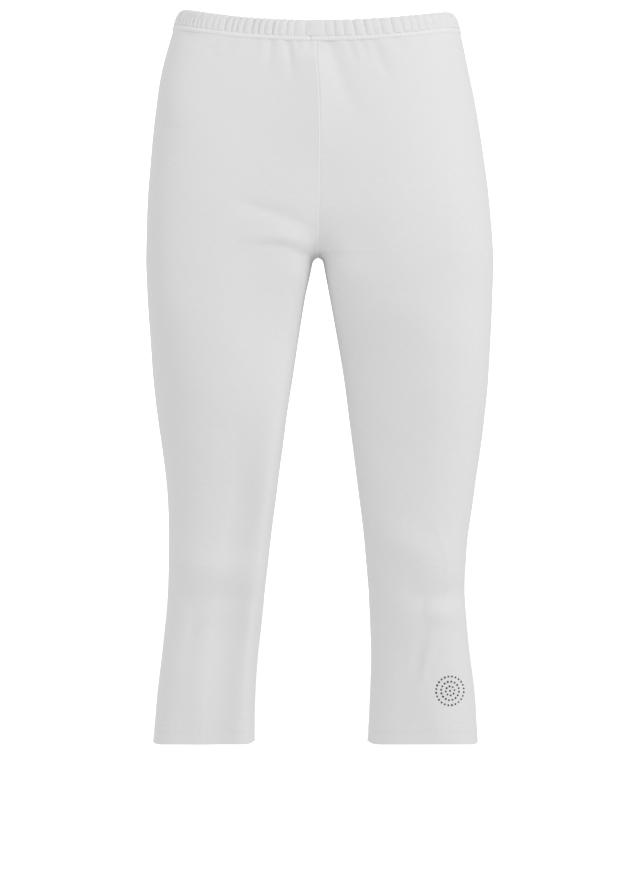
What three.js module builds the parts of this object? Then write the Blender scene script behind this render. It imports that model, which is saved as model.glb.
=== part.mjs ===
// Capri leggings in white cotton jersey, in the shape they take when worn.
// Units are millimetres: +Z is up, -Y is the front and +X is the wearer's left.
// The origin is the middle of the waist opening, level with its top edge at the sides.
//
// The cloth follows one form. At every height a leg's section is an oval made of four
// quarters about the leg's axis, each as square as its power makes it. Above the fork the
// oval is cut off at the centre plane, where the left and right panels are sewn together,
// and its inner quarters open out until front and back run straight across the body.

import * as THREE from "three";

// ---- Driving dimensions ----
const WALL = 1.2; // jersey
const SEAM_GAP = 0.35; // between pieces that a seam joins
const FORK_Z = -254.5; // where the legs part
const HEM_Z = -757; // lowest edge of the legs
const CASING_HEIGHT = 17; // elastic casing at the waist
const CASING_WALL = 3; // two layers of jersey with the elastic between them
const CASING_PROUD = 0.9; // how far the casing stands out over the leg panels
const GATHER_DEPTH = 1.2; // the casing's small pleats, drawn up by the elastic
const PLEAT_POINTS = 3; // to each of the panels' columns: a pleat takes two
const BEAD_HEIGHT = 4.2; // rolled seam that closes the casing
const BEAD_WALL = 2.4;
const BEAD_PROUD = 1.5;
const SEAM_WIDTH = 3; // ridge along the rise and the inseams
const SEAM_RIDGE = 0.8;
const SEAM_CLEAR = 0.6; // between the ridge and the panels it lies on
const CROSSING_CLEAR = 3.0; // the same where the four seams meet between the legs
const HEM_TURNUP = 18; // cloth folded up inside each leg
const HEM_WALL = 1.1;

// The top edge dips in front: it tilts with the waist and is scooped besides.
const WAIST_TILT = 12.4;
const FRONT_SCOOP = 9.4;
const BACK_SCOOP = 14;
const CORNER_DROP = 0.24; // share by which the dip follows the front face out to its corners
const CORNER_ROUND = 3.6; // how far the top edge rounds down at the sides
const CORNER_ROUND_POWER = 20;
const WAIST_BLEND = 70; // height over which the dip fades out of the panel's rows

// The hem is cut a little higher in front, and rides up at the inner and outer edges.
const HEM_FRONT_RISE = 5.5;
const HEM_EDGE_LIFT = 3.8;
const HEM_EDGE_POWER = 18;
const HEM_BLEND = 60;

// Between the thighs the cloth bridges the centre plane instead of meeting in a crease.
const BRIDGE = 7;
const BRIDGE_TOP_Z = -95;
const BRIDGE_FULL_Z = -185;
const BRIDGE_END_Z = -340;
const ARCH_RADIUS = 5.3; // round top of the gap between the legs
const RISE_TURN_Z = -205; // where the rise starts to curve under the body
const RISE_TURN_SOFTNESS = 16;
const BODY_REACH = 150; // inner half-width of the ovals where they make up the body

// ---- Sections, from the waist down ----
// Rows of numbers under column names, each column becoming a curve over z.
const table = (names, rows) => ({ names: names.split(" "), rows });

// left, right: outer edge of the wearer's left and right side, from the centre plane.
// front, back, middle: front edge, back edge and widest line of the section.
const OUTLINE = table("z left right front back middle", [
  [0, 138, 137.5, -96, 100, 2],
  [-15, 143.5, 143.8, -98, 102, 2],
  [-32, 148, 148.5, -100, 105, 3],
  [-60, 154, 155.2, -103, 110, 3],
  [-95, 161, 162, -106, 118, 4],
  [-145, 169.4, 168.8, -106, 126, 6],
  [-200, 176.3, 173.2, -102, 126, 7],
  [-255, 180, 174.8, -94, 111, 6],
  [-275, 179.8, 175, -91, 104, 5],
  [-300, 179.2, 174.2, -88, 97, 4],
  [-350, 177, 171.6, -82, 86, 2],
  [-402, 172.9, 167.1, -76, 76, 0],
  [-453, 166.9, 160.2, -68, 69, 0],
  [-505, 159.4, 154.6, -61, 62, 0],
  [-550, 153.4, 153.7, -57, 57, 0],
  [-600, 151.7, 155, -54, 57, 1],
  [-650, 154.8, 159.2, -51, 60, 3],
  [-700, 160.8, 164.7, -50, 61, 4],
  [-757, 164.7, 170, -49, 58, 4],
]);

// Powers of the quarters: 2 is an ellipse, and more is squarer. The front's outer quarters
// and inner quarters have one for each side.
const SQUARENESS = table("z power outerLeft outerRight insideLeft insideRight", [
  [0, 2.15, 2.8, 6, 2.2, 2.2],
  [-15, 2.15, 2.8, 6.2, 2.2, 2.2],
  [-32, 2.15, 2.8, 6.2, 2.2, 2.2],
  [-60, 2.15, 2.8, 6.2, 2.2, 2.2],
  [-95, 2.2, 2.8, 6, 2.2, 2.2],
  [-145, 2.3, 2.8, 6, 2.6, 2.6],
  [-200, 2.5, 2.9, 5.8, 3.7, 3.7],
  [-255, 2.6, 2.9, 5, 5.8, 5.8],
  [-275, 2.5, 2.9, 4.6, 6.8, 6.8],
  [-300, 2.4, 2.8, 4.2, 8, 8],
  [-350, 2.3, 2.8, 3.1, 9, 8.5],
  [-402, 2.2, 2.7, 2.5, 8, 7.5],
  [-453, 2.2, 2.6, 2.4, 6.5, 6],
  [-505, 2.2, 2.5, 2.4, 5, 5],
  [-550, 2.2, 2.5, 2.4, 3.6, 4.8],
  [-600, 2.2, 2.6, 2.5, 3.4, 4.8],
  [-650, 2.25, 2.6, 2.7, 3.4, 4.8],
  [-700, 2.35, 2.7, 3, 3.4, 4.8],
  [-757, 2.6, 2.8, 3.2, 3.4, 4.8],
]);

// Centre of each side's section above the fork, from the centre plane.
const AXIS = table("z axis", [
  [0, 12],
  [-15, 12],
  [-32, 12],
  [-60, 13],
  [-95, 17],
  [-145, 38],
  [-200, 70],
  [-255, 98],
]);

// Legs below the fork. inner: the inner edge. shin: how far the front's highest line lies
// out from the middle of the leg. rake: how much of its depth the inner front gives up.
const LEGS = table("z innerLeft innerRight shinLeft shinRight rakeLeft rakeRight", [
  [-255, 0, 0, 12, 9, 0, 0],
  [-275, 3.5, 3.7, 17, 8, 0.04, 0.03],
  [-300, 8, 9, 20, 7, 0.2, 0.13],
  [-350, 16.8, 17, 21, -6, 0.46, 0.18],
  [-402, 24.8, 24.8, 20, -13, 0.5, 0.02],
  [-453, 31.5, 32, 19, -15, 0.5, -0.16],
  [-505, 37.8, 38.8, 17, -14, 0.44, -0.28],
  [-550, 42.8, 44, 14, -8, 0.38, -0.3],
  [-600, 47.2, 49.9, 14, -6, 0.42, -0.3],
  [-650, 49.6, 55.4, 14, -4, 0.44, -0.34],
  [-700, 49, 59.5, 13, -2, 0.42, -0.38],
  [-757, 46.4, 61, 12, -2, 0.4, -0.36],
]);

// ---- Largest folds, in the face of the cloth ----
// Each is a soft trough (depth below 0) or ridge between two points given by their distance
// from the centre plane and their height. face is -1 on the front and 1 on the back.
const FOLDS = [
  { side: "right", face: -1, fromX: 116, fromZ: -90, toX: 110, toZ: -430, width: 42, depth: 4.6 },
  { side: "right", face: -1, fromX: 8, fromZ: -238, toX: 76, toZ: -226, width: 11, depth: -2.2 },
  { side: "right", face: -1, fromX: 70, fromZ: -598, toX: 128, toZ: -592, width: 14, depth: -2.4 },
  { side: "left", face: -1, fromX: 74, fromZ: -566, toX: 140, toZ: -590, width: 14, depth: -2.4 },
  { side: "right", face: 1, fromX: 66, fromZ: -556, toX: 142, toZ: -566, width: 14, depth: -3 },
  { side: "left", face: 1, fromX: 64, fromZ: -562, toX: 138, toZ: -552, width: 14, depth: -3 },
  { side: "right", face: 1, fromX: 12, fromZ: -262, toX: 120, toZ: -272, width: 16, depth: -3 },
  { side: "left", face: 1, fromX: 12, fromZ: -262, toX: 116, toZ: -276, width: 16, depth: -3 },
];

const PANEL_TOP_Z = -(CASING_HEIGHT + BEAD_HEIGHT + 2 * SEAM_GAP);

// ---- Mesh resolution ----
const COLUMNS = 24; // round each leg panel
const SEAM_CROWDING = 0.35; // angle over which the columns crowd together at the seams
const ROWS_ABOVE_FORK = 13;
const ROWS_BELOW_FORK = 16; // and one more for the hem
const FAN_REACH = 110; // height over which rows crowd towards the fork at the seams
const FAN_POWER = 1.8;

const SIDES = { left: 1, right: -1 }; // sign of X

// Clamps t to 0..1 and eases it in and out.
const ease = (t) => THREE.MathUtils.smoothstep(t, 0, 1);

// Smooth curve through one column of a table, as a function of height.
function curve({ names, rows }, name) {
  const points = rows.map((row) => ({ z: row[0], value: row[names.indexOf(name)] }));
  const last = points.length - 1;
  const slopes = points.map((_, i) => {
    const before = points[Math.max(i - 1, 0)];
    const after = points[Math.min(i + 1, last)];
    return (after.value - before.value) / (after.z - before.z);
  });
  return (z) => {
    const height = THREE.MathUtils.clamp(z, points[last].z, points[0].z);
    const i = points.findIndex((point, k) => k > 0 && point.z <= height) - 1;
    const span = points[i + 1].z - points[i].z;
    const t = (height - points[i].z) / span;
    const rise = points[i + 1].value - points[i].value;
    const bow = t * (1 - t) * ((1 - t) * (slopes[i] * span - rise) - t * (slopes[i + 1] * span - rise));
    return points[i].value + t * rise + bow;
  };
}

const at = {};
for (const columns of [OUTLINE, SQUARENESS, AXIS, LEGS])
  for (const name of columns.names.slice(1)) at[name] = curve(columns, name);

// The curve of a column that has one for each side.
const atSide = (name, side, z) => at[name + (side === "left" ? "Left" : "Right")](z);

// Half of a hyperbola: near 0 for negative x, and near x for positive x.
const softRamp = (x, softness) => (x + Math.hypot(x, softness)) / 2;

// Share of the way from where the rise turns under (0) down to the fork (1).
function riseTurn(z) {
  const turn = softRamp(RISE_TURN_Z - z, RISE_TURN_SOFTNESS);
  return Math.min(1, turn / softRamp(RISE_TURN_Z - FORK_Z, RISE_TURN_SOFTNESS));
}

// Inner edge of a leg below the fork: the straight edge of the table, opened at the top by
// the round arch between the legs.
function innerEdge(side, z) {
  const below = FORK_Z - z;
  const arch = Math.sqrt(1 - (1 - Math.min(1, below / ARCH_RADIUS)) ** 2) * ARCH_RADIUS;
  return arch + Math.max(0, atSide("inner", side, z));
}

// The oval of one side at a height: its centre, the widths and depths of its quarters, and
// the angles at which its front and back start at the centre plane.
function oval(side, z) {
  const into = ease((BRIDGE_TOP_Z - z) / (BRIDGE_TOP_Z - BRIDGE_FULL_Z));
  const bridge = BRIDGE * into * ease((z - BRIDGE_END_Z) / (FORK_Z - BRIDGE_END_Z));
  const power = at.power(z);
  const inside = atSide("inside", side, z);
  const outer = Math.hypot(at[side](z), bridge);
  const middle = at.middle(z);
  const front = middle - at.front(z);
  const back = at.back(z) - middle;
  const above = z > FORK_Z;
  let centre = at.axis(z);
  let inner;
  let reach = 1;
  if (above) {
    const turn = riseTurn(z);
    reach = turn + ((centre - bridge) / BODY_REACH) * (1 - turn);
    inner = (centre - bridge) / reach;
  } else {
    const innerX = Math.hypot(innerEdge(side, z), bridge);
    centre += ((innerX + outer) / 2 + atSide("shin", side, z) - centre) * ease((FORK_Z - z) / FAN_REACH);
    inner = centre - innerX;
  }
  // a quarter's height over the centre plane, as an angle about the oval's centre
  const start = (depth, square) => Math.atan2(depth * (1 - reach ** square) ** (1 / square), inner * reach);
  return {
    bridge,
    power,
    inside,
    corner: atSide("outer", side, z),
    rake: above ? 0 : atSide("rake", side, z),
    centre,
    middle,
    inner,
    outer: outer - centre,
    front,
    back,
    frontStart: Math.max(start(front, inside), SEAM_GAP / 2 / front),
    backStart: Math.max(start(back, power), SEAM_GAP / 2 / back),
  };
}

// Angle at a share of the way from a seam to the outer side. Columns crowd at the seam.
function spread(share, start) {
  const crowded = (angle) => softRamp(angle, SEAM_CROWDING);
  const low = crowded(-start);
  const high = crowded(Math.PI - start);
  return start + ((crowded(Math.PI * share - start) - low) / (high - low)) * (Math.PI - start);
}

// How far a point is pushed by the folds: each fades to its ends and across its width.
function foldDepth(side, x, y, z) {
  return FOLDS.filter((fold) => fold.side === side && Math.sign(y) === fold.face).reduce((sum, fold) => {
    const alongX = fold.toX - fold.fromX;
    const alongZ = fold.toZ - fold.fromZ;
    const t = ((x - fold.fromX) * alongX + (z - fold.fromZ) * alongZ) / (alongX ** 2 + alongZ ** 2);
    if (t <= 0 || t >= 1) return sum;
    const off = Math.hypot(x - fold.fromX - t * alongX, z - fold.fromZ - t * alongZ) / fold.width;
    return sum + fold.depth * Math.sin(Math.PI * t) * Math.exp(-off * off);
  }, 0);
}

// Point of the smooth form at column u (0 at the front seam, 0.5 at the outer side, 1 at
// the back seam) and height z. It lies at its column's angle about the oval's centre.
function formPoint(side, u, z) {
  const shape = oval(side, z);
  const angle = u <= 0.5 ? spread(2 * u, shape.frontStart) : -spread(2 - 2 * u, shape.backStart);
  const c = Math.cos(angle);
  const s = Math.sin(angle);
  const inFront = s > 0;
  const wide = Math.abs(c) / (c > 0 ? shape.inner : shape.outer);
  const deep = Math.abs(s) / (inFront ? shape.front : shape.back);
  const frontPower = c < 0 ? shape.corner : shape.inside;
  const power = inFront ? frontPower : shape.power;
  const span = (wide ** power + deep ** power) ** (-1 / power);
  const inward = inFront ? Math.max(0, (c * span) / shape.inner) : 0;
  const y = shape.middle - s * span * (1 - shape.rake * inward ** 1.5);
  const x = Math.sqrt(Math.max(0, (shape.centre - c * span) ** 2 - shape.bridge ** 2));
  return new THREE.Vector3(SIDES[side] * (x + SEAM_GAP / 2), y, z);
}

// Outward normal of the form, from its slopes round the leg and down it.
function formNormal(side, u, z) {
  const du = 0.002;
  const dz = 1;
  const lowZ = Math.max(z - dz, HEM_Z - 1);
  const around = formPoint(side, Math.min(1, u + du), z).sub(formPoint(side, Math.max(0, u - du), z));
  const up = formPoint(side, u, lowZ + 2 * dz).sub(formPoint(side, u, lowZ));
  return around.cross(up).multiplyScalar(SIDES[side]).normalize();
}

// Point of the cloth's outer face, moved out by `out` (in, where it is below 0).
function clothPoint(side, u, z, out = 0) {
  const point = formPoint(side, u, z);
  const push = out + foldDepth(side, Math.abs(point.x), point.y, z);
  const moved = point.clone().addScaledVector(formNormal(side, u, z), push);
  const least = z > FORK_Z ? SEAM_GAP / 2 : 0; // stays on its own side of the centre seam
  moved.x = SIDES[side] * Math.max(least, SIDES[side] * moved.x);
  return moved;
}

// Where a column stands at a height, as shares of the way: `out` from the centre plane to
// the outer edge, `edge` from the leg's centre to its inner or outer edge, and `forward`
// from the widest line to the front.
function shares(side, u, z) {
  const shape = oval(side, z);
  const { x, y } = formPoint(side, u, z);
  const off = Math.abs(x) - shape.centre;
  return {
    out: Math.min(1, Math.abs(x) / (shape.centre + shape.outer)),
    edge: Math.min(1, Math.abs(off) / (off > 0 ? shape.outer : shape.inner)),
    forward: (shape.middle - y) / shape.front,
  };
}

// Height of the waist's top edge at column u.
function waistDip(side, u) {
  const { out, forward } = shares(side, u, PANEL_TOP_Z);
  const roundAbout = Math.sqrt(1 - out ** 2);
  const inFront = THREE.MathUtils.lerp(roundAbout, Math.max(0, forward), CORNER_DROP);
  const facing = u < 0.5 ? inFront : -roundAbout; // 1 in front, 0 at the side, -1 behind
  const scoop = (facing > 0 ? FRONT_SCOOP : BACK_SCOOP) * facing ** 2;
  return -WAIST_TILT * facing - scoop - CORNER_ROUND * out ** CORNER_ROUND_POWER;
}

// Height of the hem over its lowest line at column u.
function hemLift(side, u) {
  const { edge, forward } = shares(side, u, HEM_Z);
  return HEM_FRONT_RISE * Math.max(0, forward) + HEM_EDGE_LIFT * edge ** HEM_EDGE_POWER;
}

// Height of a row of the leg panel at column u. Rows run level round the leg, and crowd
// together towards the fork where they end in the seams.
function rowHeight(side, level, u) {
  const off = level - FORK_Z;
  const crowded = Math.sign(off) * FAN_REACH * (Math.abs(off) / FAN_REACH) ** FAN_POWER;
  const atSeam = Math.cos(Math.PI * u) ** 2;
  const z = Math.abs(off) < FAN_REACH ? level + atSeam * (crowded - off) : level;
  const dip = waistDip(side, u) * (1 - ease((PANEL_TOP_Z - z) / WAIST_BLEND));
  const lift = hemLift(side, u) * (1 - ease((z - HEM_Z) / HEM_BLEND));
  return z + dip + lift;
}

// ---- Solids from grids of points ----

// Closed solid between an outer and an inner face, each a grid of rows of points.
// Where `ring` is set the rows close on themselves. `flip` turns a mirrored piece outwards.
function sheetBetween(outer, inner, { ring = false, flip = false } = {}) {
  const rows = outer.length;
  const columns = outer[0].length;
  const points = [...outer.flat(), ...inner.flat()];
  const index = (face, row, col) => face * rows * columns + row * columns + (col % columns);
  const triangles = [];
  const quad = (a, b, c, d) => triangles.push(...(flip ? [a, c, b, a, d, c] : [a, b, c, a, c, d]));
  const lastColumn = ring ? columns : columns - 1;
  for (let row = 0; row < rows - 1; row++)
    for (let col = 0; col < lastColumn; col++) {
      quad(index(0, row, col), index(0, row + 1, col), index(0, row + 1, col + 1), index(0, row, col + 1));
      quad(index(1, row, col), index(1, row, col + 1), index(1, row + 1, col + 1), index(1, row + 1, col));
    }
  for (let col = 0; col < lastColumn; col++) {
    quad(index(0, 0, col), index(0, 0, col + 1), index(1, 0, col + 1), index(1, 0, col));
    const end = rows - 1;
    quad(index(0, end, col), index(1, end, col), index(1, end, col + 1), index(0, end, col + 1));
  }
  if (!ring)
    for (let row = 0; row < rows - 1; row++) {
      quad(index(0, row, 0), index(1, row, 0), index(1, row + 1, 0), index(0, row + 1, 0));
      const end = columns - 1;
      quad(index(0, row, end), index(0, row + 1, end), index(1, row + 1, end), index(1, row, end));
    }
  const geometry = new THREE.BufferGeometry();
  geometry.setAttribute("position", new THREE.Float32BufferAttribute(points.flatMap((p) => p.toArray()), 3));
  geometry.setIndex(triangles);
  geometry.computeVertexNormals();
  return geometry;
}

// Numbers from first to last in equal steps, both ends included.
const steps = (first, last, count) =>
  Array.from({ length: count + 1 }, (_, i) => first + ((last - first) * i) / count);

// ---- Pieces ----

// Levels of a panel's rows, in which the fork's row comes after ROWS_ABOVE_FORK others.
const levels = [
  ...steps(PANEL_TOP_Z, FORK_Z, ROWS_ABOVE_FORK),
  ...steps(FORK_Z, HEM_Z + HEM_TURNUP, ROWS_BELOW_FORK).slice(1),
  HEM_Z,
];

// Point of a panel's mesh, or of what follows it, at a column and a level.
function panelPoint(side, col, level, out = 0) {
  const u = col / COLUMNS;
  return clothPoint(side, u, rowHeight(side, level, u), out);
}

// One leg: a single panel from the centre front round the outside to the centre back,
// which closes on itself at the inseam below the fork.
function legPanel(side) {
  const face = (out) =>
    levels.map((level) => steps(0, COLUMNS, COLUMNS).map((col) => panelPoint(side, col, level, out)));
  return sheetBetween(face(0), face(-WALL), { flip: side === "right" });
}

// Points round the whole waist at each drop below the top edge, `out` proud of the form.
// They run straight from column to column, so that what meets here meets along one line.
function waistRing(drops, perColumn, out) {
  const corner = (drop, col) => {
    const side = col <= COLUMNS ? "left" : "right";
    const u = Math.min(col, 2 * COLUMNS - col) / COLUMNS;
    const z = waistDip(side, u) - drop;
    const point = formPoint(side, u, z);
    if (u === 0 || col === COLUMNS) point.x = 0;
    return { point, outward: formNormal(side, u, z) };
  };
  return drops.map((drop, row) =>
    Array.from({ length: 2 * COLUMNS * perColumn }, (_, i) => {
      const [from, to] = [0, 1].map((next) => corner(drop, Math.floor(i / perColumn) + next));
      const share = (i % perColumn) / perColumn;
      const outward = from.outward.lerp(to.outward, share).normalize();
      return from.point.lerp(to.point, share).addScaledVector(outward, out(row, i));
    })
  );
}

// Elastic casing: a thick band whose outer face is drawn up into small pleats.
function waistbandCasing() {
  const drops = [0, 3, CASING_HEIGHT];
  const rounded = [-0.8, 0, -0.2];
  const pleat = (i) => (i % 2 ? -GATHER_DEPTH : 0);
  const outer = waistRing(drops, PLEAT_POINTS, (row, i) => CASING_PROUD + rounded[row] + pleat(i));
  const inner = waistRing(drops, PLEAT_POINTS, () => CASING_PROUD - CASING_WALL);
  return sheetBetween(outer, inner, { ring: true });
}

// Rolled seam between the casing and the leg panels.
function waistbandSeam() {
  const top = CASING_HEIGHT + SEAM_GAP;
  const drops = [top, top + BEAD_HEIGHT / 2, top + BEAD_HEIGHT];
  const round = [BEAD_PROUD - 0.9, BEAD_PROUD, BEAD_PROUD - 0.9];
  const outer = waistRing(drops, 1, (row) => round[row]);
  const inner = waistRing(drops, 1, () => BEAD_PROUD - BEAD_WALL);
  return sheetBetween(outer, inner, { ring: true });
}

// Ridge over a seam, of three lines of points: its middle and its two edges, which lie on
// the panels. `lines` has {left, middle, right, outward, clear} for each step along the seam.
function ridge(lines) {
  const moved = (point, line, out) => point.clone().addScaledVector(line.outward, line.clear + out);
  const face = (atEdge, atCrown) => [
    lines.map((line) => moved(line.left, line, atEdge)),
    lines.map((line) => moved(line.middle, line, atCrown)),
    lines.map((line) => moved(line.right, line, atEdge)),
  ];
  return sheetBetween(face(SEAM_RIDGE / 2, SEAM_RIDGE), face(0, 0));
}

// Point of a panel's face half a seam's width in from its front edge (col 0) or its back
// edge (col COLUMNS).
function besideSeam(side, col, level) {
  const edge = panelPoint(side, col, level);
  const next = panelPoint(side, col ? col - 1 : 1, level);
  return edge.clone().lerp(next, SEAM_WIDTH / 2 / edge.distanceTo(next));
}

// Ridge of the rise: down the centre front, under the body and up the centre back.
function riseSeam() {
  const above = levels.slice(0, ROWS_ABOVE_FORK + 1);
  above[0] -= SEAM_GAP;
  const stations = [
    ...above.map((level) => ({ col: 0, level })),
    ...above.slice(0, -1).reverse().map((level) => ({ col: COLUMNS, level })),
  ];
  const middles = stations.map(({ col, level }) => panelPoint("left", col, level).setX(0));
  const lines = stations.map(({ col, level }, i) => {
    const ahead = middles[Math.min(i + 1, middles.length - 1)];
    const along = ahead.clone().sub(middles[Math.max(i - 1, 0)]).normalize();
    const outward = new THREE.Vector3(0, along.z, -along.y);
    const left = besideSeam("left", col, level);
    // between the thighs the panels fall away steeply on both sides of the ridge
    const steepness = Math.abs(along.cross(left.clone().sub(middles[i])).normalize().dot(outward));
    return {
      left,
      middle: middles[i],
      right: besideSeam("right", col, level),
      outward,
      clear: i === ROWS_ABOVE_FORK ? CROSSING_CLEAR : SEAM_CLEAR / Math.max(steepness, 0.25),
    };
  });
  return ridge(lines);
}

// Ridge of an inseam, down the inner side of the leg.
function inseam(side) {
  const lines = levels.slice(ROWS_ABOVE_FORK + 1).map((level) => {
    const front = panelPoint(side, 0, level);
    const back = panelPoint(side, COLUMNS, level);
    const edges = [besideSeam(side, 0, level), besideSeam(side, COLUMNS, level)];
    return {
      left: edges[side === "left" ? 0 : 1],
      middle: front.clone().lerp(back, 0.5),
      right: edges[side === "left" ? 1 : 0],
      outward: new THREE.Vector3(-SIDES[side], 0, 0),
      clear: SEAM_CLEAR,
    };
  });
  return ridge(lines);
}

// Cloth turned up inside the end of a leg, all round.
function hemTurnup(side) {
  const columns = steps(0, COLUMNS, COLUMNS).slice(0, -1);
  const face = (out) =>
    [HEM_Z + HEM_TURNUP, HEM_Z + 0.6].map((level) => columns.map((col) => panelPoint(side, col, level, out)));
  const outside = -(WALL + SEAM_GAP);
  return sheetBetween(face(outside), face(outside - HEM_WALL), { ring: true, flip: side === "right" });
}

// ---- The garment ----
const jersey = (name, color = 0xe9e9ea) =>
  new THREE.MeshStandardMaterial({ name, color, roughness: 0.92, metalness: 0 });
const materials = {
  jersey: jersey("jersey"),
  casing: jersey("casing", 0xececed),
  thread: jersey("thread", 0xf1f1f1),
};

const leggings = new THREE.Group();
leggings.name = "capri_leggings";

function add(name, geometry, material) {
  const mesh = new THREE.Mesh(geometry, material);
  mesh.name = name;
  leggings.add(mesh);
}

add("waistband_casing", waistbandCasing(), materials.casing);
add("waistband_seam", waistbandSeam(), materials.thread);
add("rise_seam", riseSeam(), materials.thread);
for (const side of Object.keys(SIDES)) {
  add(`leg_${side}`, legPanel(side), materials.jersey);
  add(`inseam_${side}`, inseam(side), materials.thread);
  add(`hem_${side}`, hemTurnup(side), materials.jersey);
}

export default leggings;
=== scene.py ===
"""Capri leggings in white cotton jersey, filled out as they are when worn.

The model is in metres, +Z up, with the front facing -Y and the wearer's left at +X.
The origin is the middle of the waist opening. Sizes in the classes below are in
millimetres, as a pattern cutter writes them, and one function turns them to metres.
"""

import logging
import math
from dataclasses import dataclass, field
from enum import Enum
from typing import Any

import bmesh
import bpy
import numpy as np
from numpy.typing import NDArray
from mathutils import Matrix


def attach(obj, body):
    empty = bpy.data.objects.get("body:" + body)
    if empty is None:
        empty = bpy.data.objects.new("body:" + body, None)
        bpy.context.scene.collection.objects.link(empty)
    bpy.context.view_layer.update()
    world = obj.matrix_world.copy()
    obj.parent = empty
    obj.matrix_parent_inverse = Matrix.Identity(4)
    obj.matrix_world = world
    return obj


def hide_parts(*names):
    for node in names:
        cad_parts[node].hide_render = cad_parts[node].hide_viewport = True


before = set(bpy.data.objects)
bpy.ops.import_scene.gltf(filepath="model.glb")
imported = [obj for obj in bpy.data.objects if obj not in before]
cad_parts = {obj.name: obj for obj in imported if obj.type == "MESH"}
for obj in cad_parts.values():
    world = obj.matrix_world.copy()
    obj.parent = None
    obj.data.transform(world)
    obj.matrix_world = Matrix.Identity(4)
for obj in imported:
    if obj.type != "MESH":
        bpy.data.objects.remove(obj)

LOG = logging.getLogger("leggings")
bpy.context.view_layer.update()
MM = 0.001
Array = NDArray[np.float64]


class Side(Enum):
    """The wearer's side that a piece belongs to; the value is its sign along X."""

    LEFT = 1
    RIGHT = -1


class Face(Enum):
    """The side of the body that a crease lies on; the value is its sign along Y."""

    FRONT = -1
    BACK = 1


class Fade(Enum):
    """How a crease dies away along its length."""

    BOTH_ENDS = "both ends"
    DOWNWARDS = "from its first point to its last"


# ---------------------------------------------------------------------------
# Small helpers
# ---------------------------------------------------------------------------


def linear(hex_colour: str) -> tuple[float, float, float, float]:
    """Turn an sRGB hex colour into linear RGBA.

    Args:
        hex_colour: six hex digits after a hash sign.

    Returns:
        Linear red, green and blue, and an alpha of 1.
    """
    raw = np.array([int(hex_colour[i : i + 2], 16) for i in (1, 3, 5)]) / 255.0
    low, high = raw / 12.92, ((raw + 0.055) / 1.055) ** 2.4
    red, green, blue = np.where(raw <= 0.04045, low, high)
    return float(red), float(green), float(blue), 1.0


def ease(t: Array) -> Array:
    """Clamp t to 0..1 and ease it in and out: 3t squared less 2t cubed."""
    t = np.clip(t, 0.0, 1.0)
    return t * t * (3.0 - 2.0 * t)


def between(z: Array, foot: float, foot_fade: float, top: float, top_fade: float) -> Array:
    """Share that eases from 0 at two heights up to 1 over a distance inside each."""
    return ease((z - foot) / foot_fade) * ease((top - z) / top_fade)


def unit(vectors: Array) -> Array:
    """Scale vectors along the last axis to length 1."""
    return vectors / np.maximum(np.linalg.norm(vectors, axis=-1, keepdims=True), 1e-12)


def arc_lengths(lines: Array) -> Array:
    """Distance along each line of points from its first to each of them."""
    steps = np.linalg.norm(np.diff(lines, axis=-2), axis=-1)
    return np.concatenate([np.zeros((*steps.shape[:-1], 1)), np.cumsum(steps, axis=-1)], axis=-1)


def along(line: Array, distances: Array, values: Array | None = None) -> Array:
    """Read a line at distances from its start, straight between its points.

    Args:
        line: the line's points, one in each row.
        distances: where to read it.
        values: what to read, given at the line's points; the points themselves if None.

    Returns:
        A row for each distance.
    """
    run = arc_lengths(line)
    columns = (line if values is None else values).T
    return np.stack([np.interp(distances, run, column) for column in columns], axis=1)


def cubic(t: Array, start: Array, end: Array, slope_in: Array, slope_out: Array) -> Array:
    """Cubic from start to end at t, 0 to 1, whose slopes are given for the whole step."""
    rise = end - start
    bow = t * (1 - t) * ((1 - t) * (slope_in - rise) - t * (slope_out - rise))
    return start + t * rise + bow


def smooth_line(points: Array, step: float) -> Array:
    """Run a smooth curve through a few points and sample it evenly.

    Args:
        points: the curve's own points, one in each row.
        step: distance between samples, roughly.

    Returns:
        Samples from the first point to the last.
    """
    run = arc_lengths(points)
    slopes = np.gradient(points, run, axis=0)
    t = np.linspace(0.0, run[-1], max(2, int(run[-1] / step) + 2))
    i = np.clip(np.searchsorted(run, t, side="right") - 1, 0, len(run) - 2)
    span = (run[i + 1] - run[i])[:, None]
    share = (t[:, None] - run[i][:, None]) / span
    return cubic(share, points[i], points[i + 1], slopes[i] * span, slopes[i + 1] * span)


# ---------------------------------------------------------------------------
# The form that the cloth follows
# ---------------------------------------------------------------------------


@dataclass(frozen=True)
class Section:
    """A level section of the form.

    left and right are the outer edges, inner_left and inner_right the legs' inner edges
    below the fork, and axis the section's centre above it, all from the centre plane.
    front, back and middle are its front edge, back edge and widest line. A power of 2 is
    an ellipse, and more is squarer: power is the back's, corner_left and corner_right are
    the outer front quarters', and inside_left and inside_right the inner front quarters'.
    shin_left and shin_right are how far each leg's foremost line lies outside its middle,
    and rake_left and rake_right the share of the depth lost towards the inner edge.
    """

    z: float
    left: float
    right: float
    front: float
    back: float
    middle: float
    power: float
    corner_left: float
    corner_right: float
    inside_left: float
    inside_right: float
    axis: float | None = None
    inner_left: float | None = None
    inner_right: float | None = None
    shin_left: float | None = None
    shin_right: float | None = None
    rake_left: float | None = None
    rake_right: float | None = None


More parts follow.
